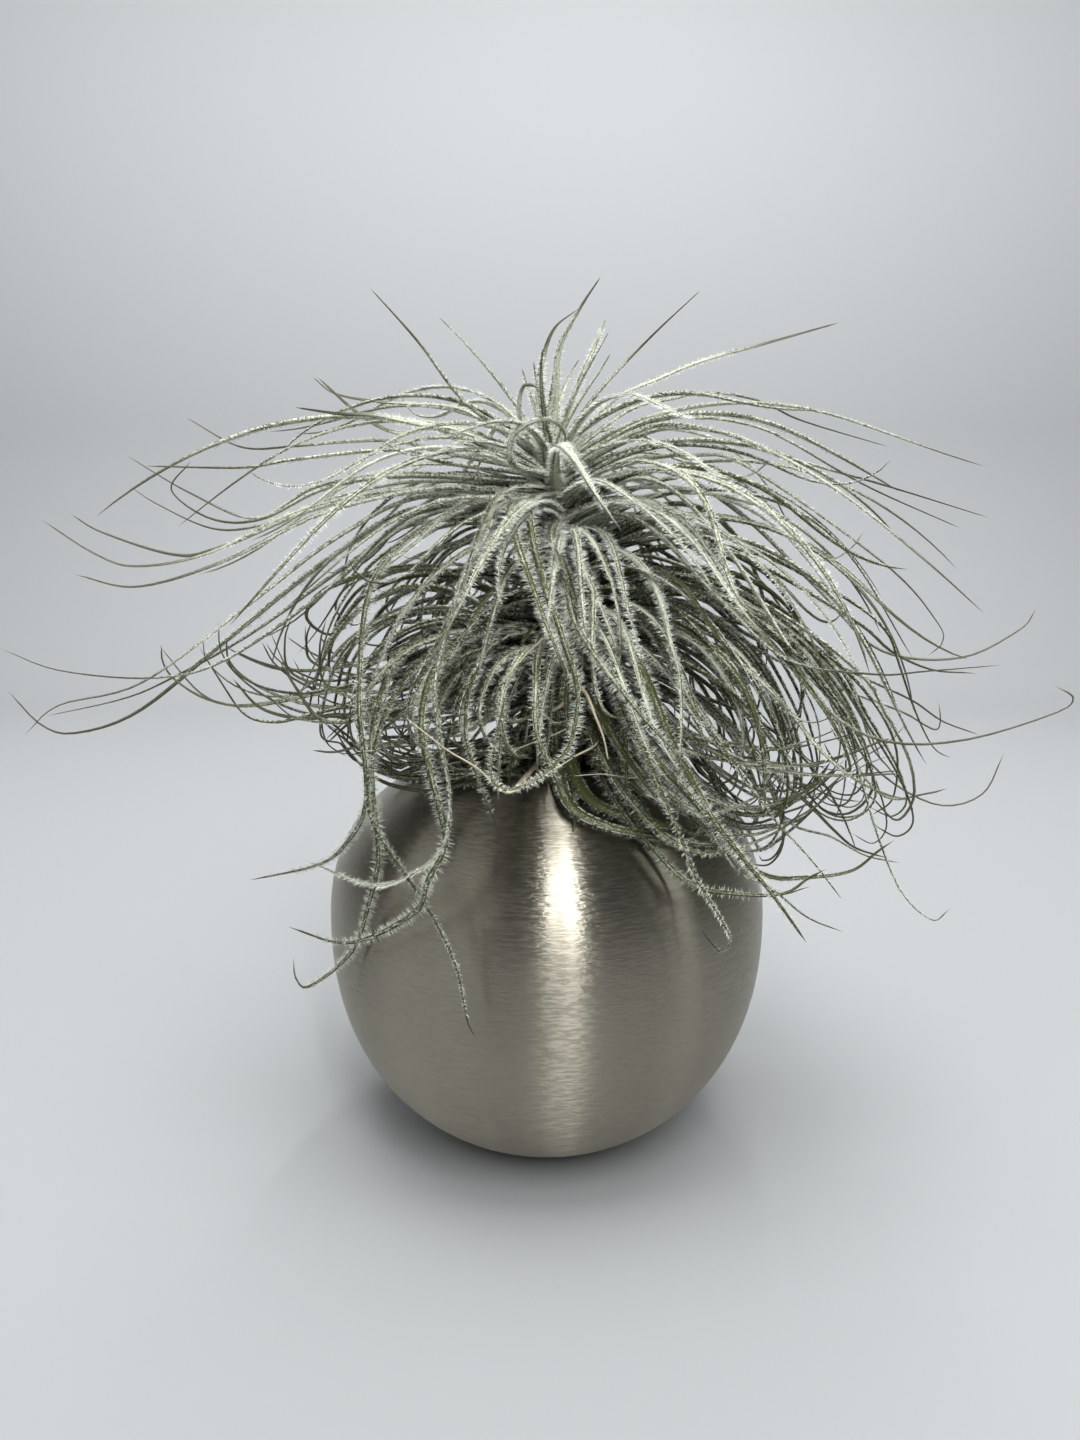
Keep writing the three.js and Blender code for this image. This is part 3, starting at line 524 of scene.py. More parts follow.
# the leaves of the round lower half: they arch out, come down and curl in, some to thin loose tips
BALL_LEAVES = (
    (146, -12, -8, 147, -24, -8, 152, -36, -6, 153, -47, -4, 149, -56, -2, 141, -61, 0, 132, -64, 2, 123),
    (143, -11, -10, 145, -23, -14, 149, -36, -14, 148, -48, -12, 142, -55, -10, 134, -59, -8, 123,
     -60, -8, 114, -54, -8, 112),
    (140, -12, -12, 143, -24, -18, 147, -36, -22, 144, -45, -24, 136, -49, -24, 126, -49, -24, 117,
     -44, -24, 109, -37, -24, 107),
    (138, -11, -14, 143, -22, -22, 144, -32, -28, 141, -40, -32, 135, -44, -32, 127, -42, -32, 119,
     -37, -32, 114, -31, -32, 118, -28, -32, 125),
    (136, -12, -14, 139, -23, -22, 139, -33, -26, 134, -39, -28, 127, -40, -28, 120, -38, -28, 114),
    (142, -14, -4, 148, -29, 4, 150, -42, 10, 146, -54, 14, 139, -62, 16, 131, -66, 18, 121, -65, 18, 113,
     -59, 18, 109),
    (134, -11, -18, 137, -20, -30, 136, -25, -38, 129, -26, -42, 121, -23, -44, 115, -17, -42, 113),
    (132, -9, -16, 135, -18, -26, 134, -27, -30, 129, -36, -30, 124, -44, -26, 116, -46, -20, 106),
    (130, -8, -14, 132, -19, -24, 129, -29, -30, 124, -36, -30, 121, -42, -28, 122),
    (150, -14, -2, 152, -26, 6, 157, -39, 14, 157, -52, 20, 152, -60, 24, 143, -64, 26, 133, -64, 26, 124),
    (128, -11, -12, 127, -23, -10, 124, -34, -6, 124, -44, 0, 121, -54, 4, 117, -62, 6, 110),
    (128, -11, -14, 124, -22, -22, 123, -32, -24, 121, -41, -22, 119, -48, -18, 113),
    (137, -3, -26, 140, -8, -38, 141, -12, -46, 138, -15, -50, 132, -15, -52, 126, -12, -52, 121,
     -8, -50, 121),
    (134, -1, -26, 137, -6, -36, 138, -10, -42, 134, -12, -44, 130, -9, -46, 126, -4, -46, 127,
     -1, -44, 130),
    (140, -7, -20, 143, -14, -34, 141, -18, -44, 135, -20, -50, 128, -18, -54, 121, -14, -54, 116),
    (124, -8, -14, 116, -18, -22, 112, -27, -26, 110, -36, -24, 108, -43, -20, 110),
    (122, -8, -14, 112, -20, -22, 109, -30, -24, 107, -39, -22, 107, -47, -18, 110, -51, -14, 116),
    (133, -13, 6, 138, -30, 16, 137, -44, 24, 132, -56, 28, 125, -62, 30, 115, -64, 30, 106),
    (130, -13, 8, 132, -28, 18, 130, -42, 26, 124, -53, 30, 115, -58, 32, 104),
    (152, -13, 2, 152, -30, 12, 158, -43, 20, 157, -57, 26, 152, -62, 28, 145, -57, 26, 140, -51, 24, 142),
    (138, -18, -4, 137, -34, -2, 133, -48, 0, 127, -62, 2, 124, -82, 4, 120, -94, 4, 122, -103, 6, 127,
     -106, 6, 132, -106, 6, 137),
    (134, -16, -8, 132, -31, -8, 129, -47, -8, 124, -63, -8, 120, -72, -8, 118, -80, -8, 120, -86, -8, 129,
     -91, -8, 138),
    (131, -17, -2, 127, -32, 2, 122, -49, 6, 117, -66, 8, 117, -78, 10, 121, -87, 10, 128, -91, 10, 135,
     -91, 10, 143),
    (139, -18, 4, 138, -35, 8, 134, -50, 10, 126, -63, 12, 123, -71, 12, 126, -77, 12, 131, -80, 12, 137),
    (142, -18, 4, 143, -35, 8, 140, -49, 10, 133, -63, 12, 129, -75, 12, 129, -84, 12, 132, -91, 12, 136),
    (136, -16, -14, 137, -30, -16, 133, -43, -18, 128, -55, -18, 129, -65, -18, 133, -66, -18, 141,
     -64, -18, 147),
    (130, -15, -4, 126, -29, -4, 121, -42, -4, 118, -56, -4, 119, -66, -4, 118, -77, -4, 121, -84, -4, 129),
    (126, -14, -12, 121, -25, -20, 119, -37, -24, 116, -47, -24, 115, -54, -22, 113, -60, -20, 113),
    (142, 14, -12, 140, 26, -20, 139, 37, -26, 135, 47, -30, 128, 54, -30, 119, 61, -28, 110, 61, -26, 102,
     55, -24, 99),
    (140, 13, -16, 137, 24, -28, 130, 36, -36, 119, 47, -38, 114, 61, -36, 111, 73, -34, 110, 87, -32, 110),
    (139, 15, -14, 137, 26, -24, 127, 37, -30, 117, 50, -30, 113, 63, -28, 111, 74, -26, 113, 83, -24, 116,
     86, -24, 117),
    (145, 15, -8, 147, 29, -10, 151, 42, -12, 147, 53, -14, 138, 61, -14, 125, 66, -14, 112, 66, -14, 99,
     58, -14, 94, 50, -14, 96),
    (148, 15, -4, 150, 31, 0, 155, 47, 4, 152, 62, 8, 143, 74, 10, 130, 84, 10, 115, 89, 10, 101, 87, 10, 91,
     81, 10, 90, 74, 10, 95),
    (150, 16, -6, 153, 32, -8, 157, 49, -8, 153, 65, -8, 141, 78, -6, 126, 86, -4, 111, 89, -4, 99,
     84, -4, 92, 77, -4, 92, 70, -4, 98),
    (136, 14, -16, 131, 23, -30, 120, 35, -34, 107, 47, -34, 102, 58, -32, 103, 67, -30, 107, 72, -30, 112),
    (138, 15, -10, 133, 29, -14, 128, 42, -18, 118, 52, -22, 106, 62, -24, 95, 72, -26, 92, 81, -26, 87,
     90, -26, 85),
    (132, 13, -18, 126, 23, -32, 114, 34, -38, 103, 46, -40, 97, 57, -38, 99, 66, -36, 104, 70, -36, 110),
    (134, 14, -14, 128, 26, -26, 117, 38, -32, 103, 47, -34, 92, 54, -34, 92, 58, -32, 98, 58, -32, 104),
    (141, 17, -6, 137, 32, -8, 131, 48, -10, 119, 59, -12, 103, 63, -14, 90, 60, -14, 82, 53, -14, 82),
    (144, 16, -10, 143, 31, -14, 145, 46, -18, 140, 56, -20, 126, 60, -22, 111, 57, -22, 98, 49, -22, 96),
    (130, 14, -14, 124, 26, -26, 109, 38, -32, 97, 53, -34, 85, 65, -34, 84, 76, -32, 85, 82, -32, 90,
     86, -32, 93),
    (128, 12, -16, 121, 19, -28, 115, 26, -36, 108, 34, -42, 104, 43, -42, 101),
    (146, 17, 2, 148, 34, 8, 148, 49, 14, 141, 62, 18, 128, 70, 20, 114, 73, 20, 101, 68, 20, 91),
    (143, 17, 2, 141, 31, 8, 139, 45, 14, 131, 56, 18, 118, 60, 20, 104, 58, 20, 93),
    (137, 15, -6, 132, 27, -8, 124, 38, -10, 113, 47, -12, 104, 58, -12, 98, 69, -12, 100, 74, -12, 106),
    (147, 17, 6, 150, 37, 14, 151, 58, 20, 143, 76, 24, 130, 87, 26, 114, 88, 26, 99, 83, 26, 93),
    (151, 17, 0, 154, 38, 2, 157, 59, 4, 150, 78, 6, 135, 90, 8, 117, 99, 8, 103, 103, 8, 92, 99, 8, 87,
     92, 8, 90),
    (149, 16, -12, 154, 32, -20, 155, 47, -26, 148, 60, -30, 135, 70, -32, 121, 74, -32, 111, 70, -32, 113,
     67, -32, 118),
)

# thinner leaves that cross one another to the right of the ball and turn up at their ends
TANGLE_LEAVES = (
    (150, 25, 2, 160, 41, 4, 151, 53, 6, 141, 62, 6, 136, 72, 6, 129, 83, 6, 124, 99, 6, 118, 108, 6, 113,
     110, 6, 115, 109, 6, 121),
    (152, 22, 4, 165, 45, 8, 154, 69, 12, 138, 79, 12, 132, 91, 12, 126, 104, 12, 120, 113, 12, 114,
     124, 12, 110),
    (156, 24, -3, 171, 50, -5, 162, 80, -8, 145, 90, -8, 137, 101, -8, 132, 113, -8, 131),
    (158, 27, -5, 171, 54, -11, 163, 76, -16, 151, 86, -16, 143, 90, -16, 134, 94, -16, 124, 98, -16, 116,
     101, -16, 112, 105, -16, 110),
    (146, 19, -7, 158, 39, -13, 153, 53, -20, 146, 64, -20, 139, 71, -20, 127, 76, -20, 116, 80, -20, 108,
     85, -20, 102, 90, -20, 100, 95, -20, 101, 100, -20, 102, 103, -20, 103),
    (150, 21, -8, 162, 43, -16, 156, 64, -24, 144, 79, -24, 132, 84, -24, 124, 89, -24, 116, 92, -24, 109,
     93, -24, 102, 91, -24, 97, 88, -24, 96, 83, -24, 101, 76, -24, 106),
    (148, 22, 1, 160, 49, 1, 149, 69, 2, 139, 82, 2, 129, 86, 2, 120, 90, 2, 109, 95, 2, 103, 100, 2, 97),
    (124, 14, -3, 134, 28, -7, 118, 41, -10, 97, 51, -10, 85, 58, -10, 83, 65, -10, 88, 72, -10, 95,
     78, -10, 103),
    (126, 17, -1, 136, 31, -3, 117, 42, -4, 100, 52, -4, 92, 61, -4, 91, 71, -4, 94, 78, -4, 100,
     84, -4, 106, 93, -4, 112, 97, -4, 117),
    (130, 17, 3, 138, 31, 5, 121, 44, 8, 101, 55, 8, 91, 67, 8, 91, 78, 8, 94, 88, 8, 101, 97, 8, 105),
    (136, 20, 5, 146, 43, 9, 135, 64, 14, 120, 76, 14, 101, 82, 14, 91, 88, 14, 88, 92, 14, 90, 93, 14, 96),
    (134, 20, 1, 145, 39, 3, 133, 59, 4, 116, 71, 4, 99, 77, 4, 91, 83, 4, 88, 89, 4, 89, 91, 4, 93),
    (132, 17, -5, 142, 35, -9, 129, 53, -14, 112, 70, -14, 96, 76, -14, 90, 82, -14, 85, 91, -14, 82),
)

# greener leaves under the round lower half, which lie over the vase's left shoulder and turn up at their ends
UNDER_LEAVES = (
    (118, -1, -12, 109, -10, -20, 106, -28, -22, 105, -43, -16, 106, -52, -8, 111, -57, -4, 117),
    (120, -4, -14, 112, -19, -26, 110, -36, -28, 112, -46, -22, 116, -50, -16, 121),
    (122, -6, -16, 115, -20, -30, 115, -32, -34, 116, -40, -32, 120, -44, -28, 126),
    (119, -13, -4, 105, -33, 4, 101, -47, 10, 103, -58, 14, 110, -66, 16, 116),
    (121, -9, -8, 110, -25, -8, 105, -41, -4, 102, -53, 2, 105, -58, 6, 109, -63, 8, 109),
)

# broad green leaves round the foot, and dry straw-coloured ones
FOOT_LEAVES = (
    (112, 2, -22, 114, 3, -34, 109, 6, -42, 104, 15, -44, 100, 27, -42, 97, 38, -38, 94, 49, -34, 92),
    (110, 5, -20, 112, 7, -30, 108, 11, -36, 104, 20, -38, 100, 35, -34, 96, 48, -30, 93),
    (130, 9, -24, 129, 14, -36, 123, 19, -44, 116, 25, -46, 108, 28, -46, 104),
    (124, 11, -20, 121, 16, -30, 115, 21, -36, 108, 28, -38, 103),
    (126, 4, -18, 128, -1, -26, 122, -6, -32, 116, -10, -36, 111),
    (122, 3, -20, 125, -2, -28, 119, -8, -34, 114, -11, -36, 111),
    (112, -7, -16, 115, -18, -22, 110, -30, -24, 107, -39, -20, 106, -45, -14, 108),
    (110, -8, -16, 112, -20, -22, 107, -30, -22, 105, -40, -18, 105),
)
STRAW_LEAVES = (
    (112, -5, -34, 110, -9, -60, 113, -15, -66, 120, -21, -67, 124, -26, -67, 128, -30, -66, 131),
    (128, 3, -30, 145, -4, -44, 142, -11, -50, 135),
    (122, 11, -22, 123, 3, -34, 121, -5, -40, 119, -10, -42, 117),
    (130, 9, -30, 130, 11, -38, 126, 13, -42, 121, 14, -44, 116),
    (118, 12, -30, 118, 6, -40, 116, -1, -46, 113),
    (126, 5, -30, 128, -1, -38, 126, -11, -44, 125),
    (120, 23, -30, 110, 12, -40, 112, 6, -42, 112),
)


def draw(leaf, which):
    """A fixed draw from 0 to 1 for a leaf: the fraction of a large multiple of a sine."""
    value = np.sin(leaf * 12.9898 + which * 78.233) * 43758.5453
    return value - np.floor(value)


def scatter(leaf, which):
    """A fixed draw from -1 to 1 for a leaf."""
    return 2 * draw(leaf, which) - 1


def clear_of_vase(points, gap):
    """Points in the vase or nearer to it than the gap, moved out to its outline grown by the gap."""
    across = BALL_RADIUS + gap
    for _ in range(CLEARING_PASSES):
        above = points[..., 2] - WIDEST_HEIGHT
        tall = np.where(above > 0, UPPER_RISE + LIP_RADIUS, LOWER_DROP) + gap
        power = np.where(above > 0, UPPER_POWER, LOWER_POWER)
        outward = (np.hypot(points[..., 0], points[..., 1]) / across) ** power
        reach = (outward + (np.abs(above) / tall) ** power) ** (1 / power)
        grow = np.where(reach < 1, 1 / np.maximum(reach, LEAST_REACH), 1.0)
        points = np.stack([points[..., 0] * grow, points[..., 1] * grow,
                           WIDEST_HEIGHT + above * grow], axis=-1)
    return points


def respaced(line, count):
    """A line's points respaced to a count of steps that are equal in length plus a share of their bend."""
    step = np.diff(line, axis=0)
    length = np.linalg.norm(step, axis=1)
    level = step / length[:, None]
    bend = np.arccos(np.clip(np.sum(level[1:] * level[:-1], axis=1), -1, 1))
    cost = length + BEND_WEIGHT * (np.append(bend, 0) + np.insert(bend, 0, 0)) / 2
    run = np.insert(np.cumsum(cost), 0, 0)
    places = np.linspace(0, run[-1], count)
    return np.stack([np.interp(places, run, line[:, axis]) for axis in range(3)], axis=-1)


def lifted(line, gap):
    """A respaced leaf line whose free part is clear of the vase."""
    run = np.linalg.norm(np.diff(line, axis=0), axis=1).cumsum()
    free = np.insert(run / run[-1], 0, 0)[:, None] > SUNK_PART
    return np.where(free, clear_of_vase(line, gap), line)


def tier_lines(first, count, heights, launches, lengths, droops, upturn, rightward, droop_power, parting,
               wander):
    """Leaves by the rule: a leaf's slope falls with its length from the launch angle and may rise at the tip,
    its heading sweeps and wanders a little, and the line is the sum of the steps taken."""
    leaf = first + np.arange(count)
    up = (np.arange(count) + 0.5) / count

    def between(pair):
        """A value for each leaf, from the tier's bottom to its top."""
        return pair[0] + (pair[1] - pair[0]) * up

    azimuth = np.radians(leaf * GOLDEN_ANGLE + HEADING_SPREAD * scatter(leaf, 1))
    azimuth = azimuth + parting * np.cos(azimuth)
    launch = np.radians(between(launches) + LAUNCH_SPREAD * scatter(leaf, 2))
    front, back = np.maximum(0, -np.sin(azimuth)), np.maximum(0, np.sin(azimuth))
    side = (1 + rightward * np.cos(azimuth)) * (1 - FRONT_SHORTENING * front - BACK_SHORTENING * back)
    length = between(lengths) * (1 + LENGTH_SPREAD * scatter(leaf, 3)) * side
    droop = np.radians(between(droops) * (1 + DROOP_SPREAD * scatter(leaf, 4)))
    turned_up = np.radians(upturn * draw(leaf, 5) ** UPTURN_POWER)
    sweep = np.radians(SWEEP_MOST * scatter(leaf, 6))
    s = (np.arange(RULE_STEPS)[:, None] + 0.5) / RULE_STEPS
    tip = np.clip((s - TIP_FROM) / TIP_SHARE, 0, 1) ** TIP_POWER
    slope = launch - droop * s ** droop_power + turned_up * tip
    wave = np.sin(2 * np.pi * (WANDER_WAVES * s + draw(leaf, 9)))
    heading = azimuth + sweep * s ** SWEEP_POWER + np.radians(wander) * s * wave
    level = np.cos(slope)
    step = np.stack([level * np.cos(heading), level * np.sin(heading), np.sin(slope)], axis=-1)
    travelled = np.cumsum(step * (length / RULE_STEPS)[:, None], axis=0)
    root = stem_line(between(heights))
    whole = np.concatenate([root[None], root + travelled]).transpose(1, 0, 2)
    return [respaced(line, RULE_RINGS) for line in whole]


def stop_line(height, *places):
    """A leaf from the stem through its stops: cubic pieces whose slope at a stop is half the step between its
    neighbours."""
    points = np.array([stem_line(np.float64(height)), *np.reshape(places, (-1, 3))], float)
    ends = np.concatenate([[2 * points[0] - points[1]], points, [2 * points[-1] - points[-2]]])
    t = np.linspace(0, 1, STOP_STEPS)[:, None]
    pieces = []
    for a, b, c, d in zip(ends, ends[1:], ends[2:], ends[3:]):
        pieces.append(b + 0.5 * t * (c - a + t * (2 * a - 5 * b + 4 * c - d + t * (3 * (b - c) + d - a))))
    return respaced(np.concatenate([piece[:-1] for piece in pieces] + [pieces[-1][-1:]]), TRACED_RINGS)


def with_neighbours(lines):
    """Leaf lines with two neighbours each: the same line, turned about the upright through its root, shorter,
    and drawn up or down a little."""
    result = list(lines)
    for k, line in enumerate(lines):
        for side, turn in enumerate(NEIGHBOUR_TURNS):
            turn = np.radians(turn + NEIGHBOUR_TURN_SPREAD * scatter(k, 7 + side))
            offset = (line - line[0]) * (NEIGHBOUR_SHARE + NEIGHBOUR_SHARE_SPREAD * scatter(k, 9 + side))
            rise = 1 + NEIGHBOUR_RISE_SPREAD * scatter(k, 11 + side)
            turned = np.stack([np.cos(turn) * offset[:, 0] - np.sin(turn) * offset[:, 1],
                               np.sin(turn) * offset[:, 0] + np.cos(turn) * offset[:, 1],
                               rise * offset[:, 2]], axis=-1)
            result.append(line[0] + turned)
    return result


# ---------------------------------------------------------------- leaf blades
# Narrow, silvery grey-green blades, grooved above and keeled below. Each is broad where it clasps the stem,
# soon about 3 mm wide, and ends in a long smooth thread, brown-green and often curled up.
BLADE_SECTION = np.array([(-1, 0.08), (-0.55, -0.62), (0, -0.95), (0.55, -0.62), (1, 0.08), (0, -0.14)])
SHEATH_REACH = 8.5
WIDTH_RANGE = (0.75, 1.15)
THINNING_POWER = 1.35
BLADE_DEPTH = 0.46
SHEATH_DEPTH = 0.12
SILVER_SPREAD = 0.12
HAIRY_SPREAD = 0.05
END_SHARE = 0.02
DRY_FADE = 0.12
BARE_FADE = 0.15
HAIRY_IN_FRONT = 0.25
HAIRY_MOST = 0.97
LEAF_GREEN = (0.05, 0.057, 0.019)
LEAF_SILVER = (0.58, 0.605, 0.495)
LEAF_TIP = (0.052, 0.05, 0.024)
LEAF_DRY = (0.60, 0.52, 0.38)


def leaf_set(lines, seed, width=2.1, sheath=5.6, thread=0.34, hairy_to=0.7, silver_and_painted_shade=0.6, twist=0.7,
             dry_from=2.0, facing=(0.0, 0.0, 1.0)):
    """A set of leaves as arrays, with each leaf's frame along its line and its width at each ring.

    The width is the sheath's bell round the root plus a blade that thins by a power of the part run. The
    frame is carried along the line without twisting, then turned by each leaf's own slow twist.
    """
    lines = np.array([lifted(line, VASE_GAP) for line in lines])
    count, rings = lines.shape[:2]
    luck = np.random.default_rng(seed)
    step = np.diff(lines, axis=1)
    stretch = np.linalg.norm(step, axis=-1)
    level = step / stretch[..., None]
    along = np.concatenate([level[:, :1], level[:, 1:] + level[:, :-1], level[:, -1:]], axis=1)
    along /= np.linalg.norm(along, axis=-1, keepdims=True)
    length = stretch.sum(axis=1)
    part = np.concatenate([np.zeros((count, 1)), stretch.cumsum(axis=1)], axis=1) / length[:, None]
    face = np.empty_like(lines)
    carried = np.tile(facing, (count, 1))
    for k in range(rings):
        carried = carried - along[:, k] * np.sum(carried * along[:, k], axis=1, keepdims=True)
        carried /= np.linalg.norm(carried, axis=1, keepdims=True)
        face[:, k] = carried
    across = np.cross(along, face)
    turned = (luck.normal(0, twist, (count, 1)) * part)[..., None]
    face, across = (face * np.cos(turned) + across * np.sin(turned),
                    across * np.cos(turned) - face * np.sin(turned))
    widest = width * luck.uniform(*WIDTH_RANGE, (count, 1))
    blade = thread + (widest - thread) * (1 - part ** THINNING_POWER)
    bell = (sheath - width) * np.exp(-(part * length[:, None] / SHEATH_REACH) ** 2)
    forward = HAIRY_IN_FRONT * np.clip((lines[:, 0, 1] - lines[:, -1, 1]) / length, 0, 1)
    return {
        "lines": lines, "along": along, "face": face, "across": across, "part": part, "length": length,
        "width": blade + bell, "depth": BLADE_DEPTH * blade + SHEATH_DEPTH * bell,
        "hairy_to": np.minimum(HAIRY_MOST, hairy_to + luck.normal(0, HAIRY_SPREAD, count) + forward),
        "silver_and_painted_shade": silver_and_painted_shade + luck.normal(0, SILVER_SPREAD, count),
        "dry": np.clip((part - dry_from) / DRY_FADE + 0.5, 0, 1), "luck": luck.random(count),
    }


def blade_surface(leaves):
    """The blade section drawn along every leaf line, shrunk almost to a point at both ends."""
    width = leaves["width"][..., None, None] / 2
    depth = leaves["depth"][..., None, None]
    sideways = leaves["across"][:, :, None] * BLADE_SECTION[:, :1] * width
    upwards = leaves["face"][:, :, None] * BLADE_SECTION[:, 1:] * depth
    points = leaves["lines"][:, :, None] + sideways + upwards
    middle = points.mean(axis=2, keepdims=True)
    points[:, [0, -1]] = middle[:, [0, -1]] + END_SHARE * (points - middle)[:, [0, -1]]
    count, rings, sides = points.shape[:3]
    one = grid_faces(rings, sides, closed_columns=True)[:, ::-1]
    faces = one[None] + (np.arange(count) * rings * sides)[:, None, None]
    shape = (count, rings, sides)
    bare = np.clip((leaves["part"] - leaves["hairy_to"][:, None]) / BARE_FADE + 0.5, 0, 1)
    numbers = {
        "silver_and_painted_shade": np.broadcast_to(leaves["silver_and_painted_shade"][:, None, None], shape),
        "dry": np.broadcast_to(leaves["dry"][..., None], shape),
        "across": np.broadcast_to(BLADE_SECTION[:, 0], shape),
        "luck": np.broadcast_to(leaves["luck"][:, None, None], shape),
        "run": np.broadcast_to((leaves["part"] * leaves["length"][:, None])[..., None], shape),
        "bare": np.broadcast_to(bare[..., None], shape),
    }
    return points.reshape(-1, 3), faces.reshape(-1, 4), numbers


def silvery_skin():
    """Green skin under silvery scales, which are thickest on the rims and the midrib and thin out on the tip.

    The fine lines along the blade are noise drawn narrow across it and long with it. The combs that break up
    its rims are noise drawn crosswise. Both are added to the scales' cover. That cover starts from each set's
    share of silver. The share is set low on the sets deep and low in the plant, partly for older leaves with
    fewer scales and partly as painted shade.
    """
    skin = Material("leaf_skin", Specular_IOR_Level=0.3)
    place = skin.place()
    across = skin.attribute("across")
    lengthwise = skin.node("ShaderNodeCombineXYZ", None, {
        0: across * 3.2, 1: skin.attribute("run") * 0.14, 2: skin.attribute("luck") * 60.0})
    lines = skin.noise(lengthwise, detail=2.0)
    crosswise = skin.node("ShaderNodeCombineXYZ", None, {
        0: across * 0.9, 1: skin.attribute("run") * 1.5 - across * across * 0.8,
        2: skin.attribute("luck") * 90.0})
    combs = skin.noise(crosswise, detail=1.0).band(0.38, 0.62)
    specks = skin.noise(place, scale=2300.0, detail=2.0)
    patches = skin.noise(place, scale=90.0, detail=2.0)
    rim = (across * across).band(0.4, 0.85)
    rib = 1 - (across * across).band(0.0, 0.16)
    # the silver share carries painted shade: it is set low on the sets deep and low in the plant, so their
    # blades come out darker and greener
    cover_and_painted_shade = (skin.attribute("silver_and_painted_shade") + rim * (combs - 0.2) + rib * 0.22 - 0.43 + (lines - 0.5) * 1.2
             + (specks - 0.5) * 1.6 + (patches - 0.5) * 0.6)
    covered_and_painted_shade = cover_and_painted_shade.band(0.0, 1.0) * (1 - skin.attribute("bare") * 0.85)
    green = skin.blend(skin.attribute("bare"), LEAF_GREEN, LEAF_TIP)
    shaded = skin.blend(covered_and_painted_shade, green, LEAF_SILVER)
    skin.set(Base_Color=skin.blend(skin.attribute("dry"), shaded, LEAF_DRY),
             Roughness=0.5 + covered_and_painted_shade * 0.35)
    skin.bump(specks * 0.5 + lines, 0.00015, 0.7)
    return skin


leaf_skin = silvery_skin()


def tiers(*names):
    """The leaf lines of the named tiers."""
    return [line for name in names for line in tier_lines(*TIERS[name])]


def stops(leaves):
    """The leaf lines through rows of stops."""
    return [stop_line(*leaf) for leaf in leaves]


# silver is each set's share of scale cover. It is set low on the sets deep and low in the plant, partly for
# older leaves with fewer scales and partly as painted shade.
LEAF_SETS = {
    "skirt": leaf_set(tiers("skirt", "inner_skirt"), 11, width=2.8, sheath=6.5, thread=0.5, hairy_to=0.95,
                      silver_and_painted_shade=0.3),
    "nest": leaf_set(tiers("nest"), 20, width=3.2, sheath=7.0, thread=0.6, hairy_to=0.95, silver_and_painted_shade=0.12),
    "curled": leaf_set(tiers("curled"), 17, width=3.0, sheath=6.0, thread=0.5, hairy_to=0.95, silver_and_painted_shade=0.36),
    "middle": leaf_set(tiers("middle", "inner_middle"), 12, width=2.7, sheath=6.0, thread=0.4,
                       hairy_to=0.78, silver_and_painted_shade=0.7),
    "crown": leaf_set(tiers("crown"), 13, width=2.6, sheath=5.0, hairy_to=0.72, silver_and_painted_shade=0.9),
    "young": leaf_set(tiers("inner_crown", "heart"), 21, width=2.5, sheath=5.0, hairy_to=0.93, silver_and_painted_shade=0.8),
    "outline": leaf_set(stops(OUTLINE_LEAVES), 14, width=2.6, hairy_to=0.66, silver_and_painted_shade=0.86),
    "ball": leaf_set(with_neighbours(stops(BALL_LEAVES)), 19, width=2.9, thread=0.45, hairy_to=0.78,
                     silver_and_painted_shade=0.55),
    "tangle": leaf_set(stops(TANGLE_LEAVES), 22, width=2.4, thread=0.4, hairy_to=0.75, silver_and_painted_shade=0.55),
    "front": leaf_set(stops(FRONT_LEAVES), 18, width=2.5, thread=0.5, hairy_to=1.0, silver_and_painted_shade=0.44),
    "foot": leaf_set(stops(FOOT_LEAVES), 15, width=4.4, sheath=6.0, hairy_to=0.9, silver_and_painted_shade=0.26, twist=0,
                     facing=(0.0, -0.7, 0.7)),
    "under": leaf_set(with_neighbours(stops(UNDER_LEAVES)), 23, width=2.7, thread=0.45, silver_and_painted_shade=0.34),
    "straw": leaf_set(stops(STRAW_LEAVES), 16, width=1.6, sheath=2.0, hairy_to=0.4, dry_from=0.15),
}
for set_name, leaves in LEAF_SETS.items():
    points, faces, numbers = blade_surface(leaves)
    piece = new_piece(f"{set_name}_leaves", points, faces, leaf_skin, numbers=numbers)
    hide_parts("leafy_stem")
    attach(piece, "root")
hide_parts("leafy_stem")
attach(stem, "root")


# ---------------------------------------------------------------- leaf hairs
# White hairs 1 to 2 mm long stand out from both edges and both faces of every blade but the dry straw ones,
# closest together along the edges. Each is a slim four-faced spike rooted in the skin, or one that runs
# through the blade and stands out of both edges.
# set: spikes for each millimetre of leaf, longest hair, how white they are. Whiteness is low on the sets deep
# and low in the plant and in front, partly for greyer hairs and partly as painted shade
HAIRS = {
    "skirt": (2.0, 2.0, 0.4), "nest": (1.2, 1.8, 0.3), "curled": (2.4, 2.0, 0.4), "middle": (2.9, 1.9, 0.9),
    "crown": (7.3, 1.8, 1.0), "young": (6.8, 1.7, 1.0), "outline": (7.5, 1.9, 0.95),
    "ball": (4.45, 2.0, 0.3), "tangle": (4.4, 1.9, 0.7), "front": (7.5, 2.3, 0.3), "foot": (4.0, 1.0, 0.4),
    "under": (1.6, 1.7, 0.4),
}
HAIR_RADIUS = 0.075
WAIST_RADIUS = 0.12
EDGE_SHARE = 0.6
UNDER_SHARE = 0.1
FACE_HAIR = 0.55
LENGTH_RANGE = (0.5, 1.0)
TIP_FADING = 0.45
ROOT_DEPTH = 0.06
FIRST_PART = 0.04
PART_SPREAD = 0.04
LEAST_SHADE = 0.45
FIRST_SEED = 40
SPIKE_FACES = np.array([(0, 3, 2), (1, 2, 3), (0, 2, 1), (0, 1, 3)])
HAIR_WHITE = (0.88, 0.905, 0.875)
HAIR_GREY = (0.48, 0.50, 0.42)


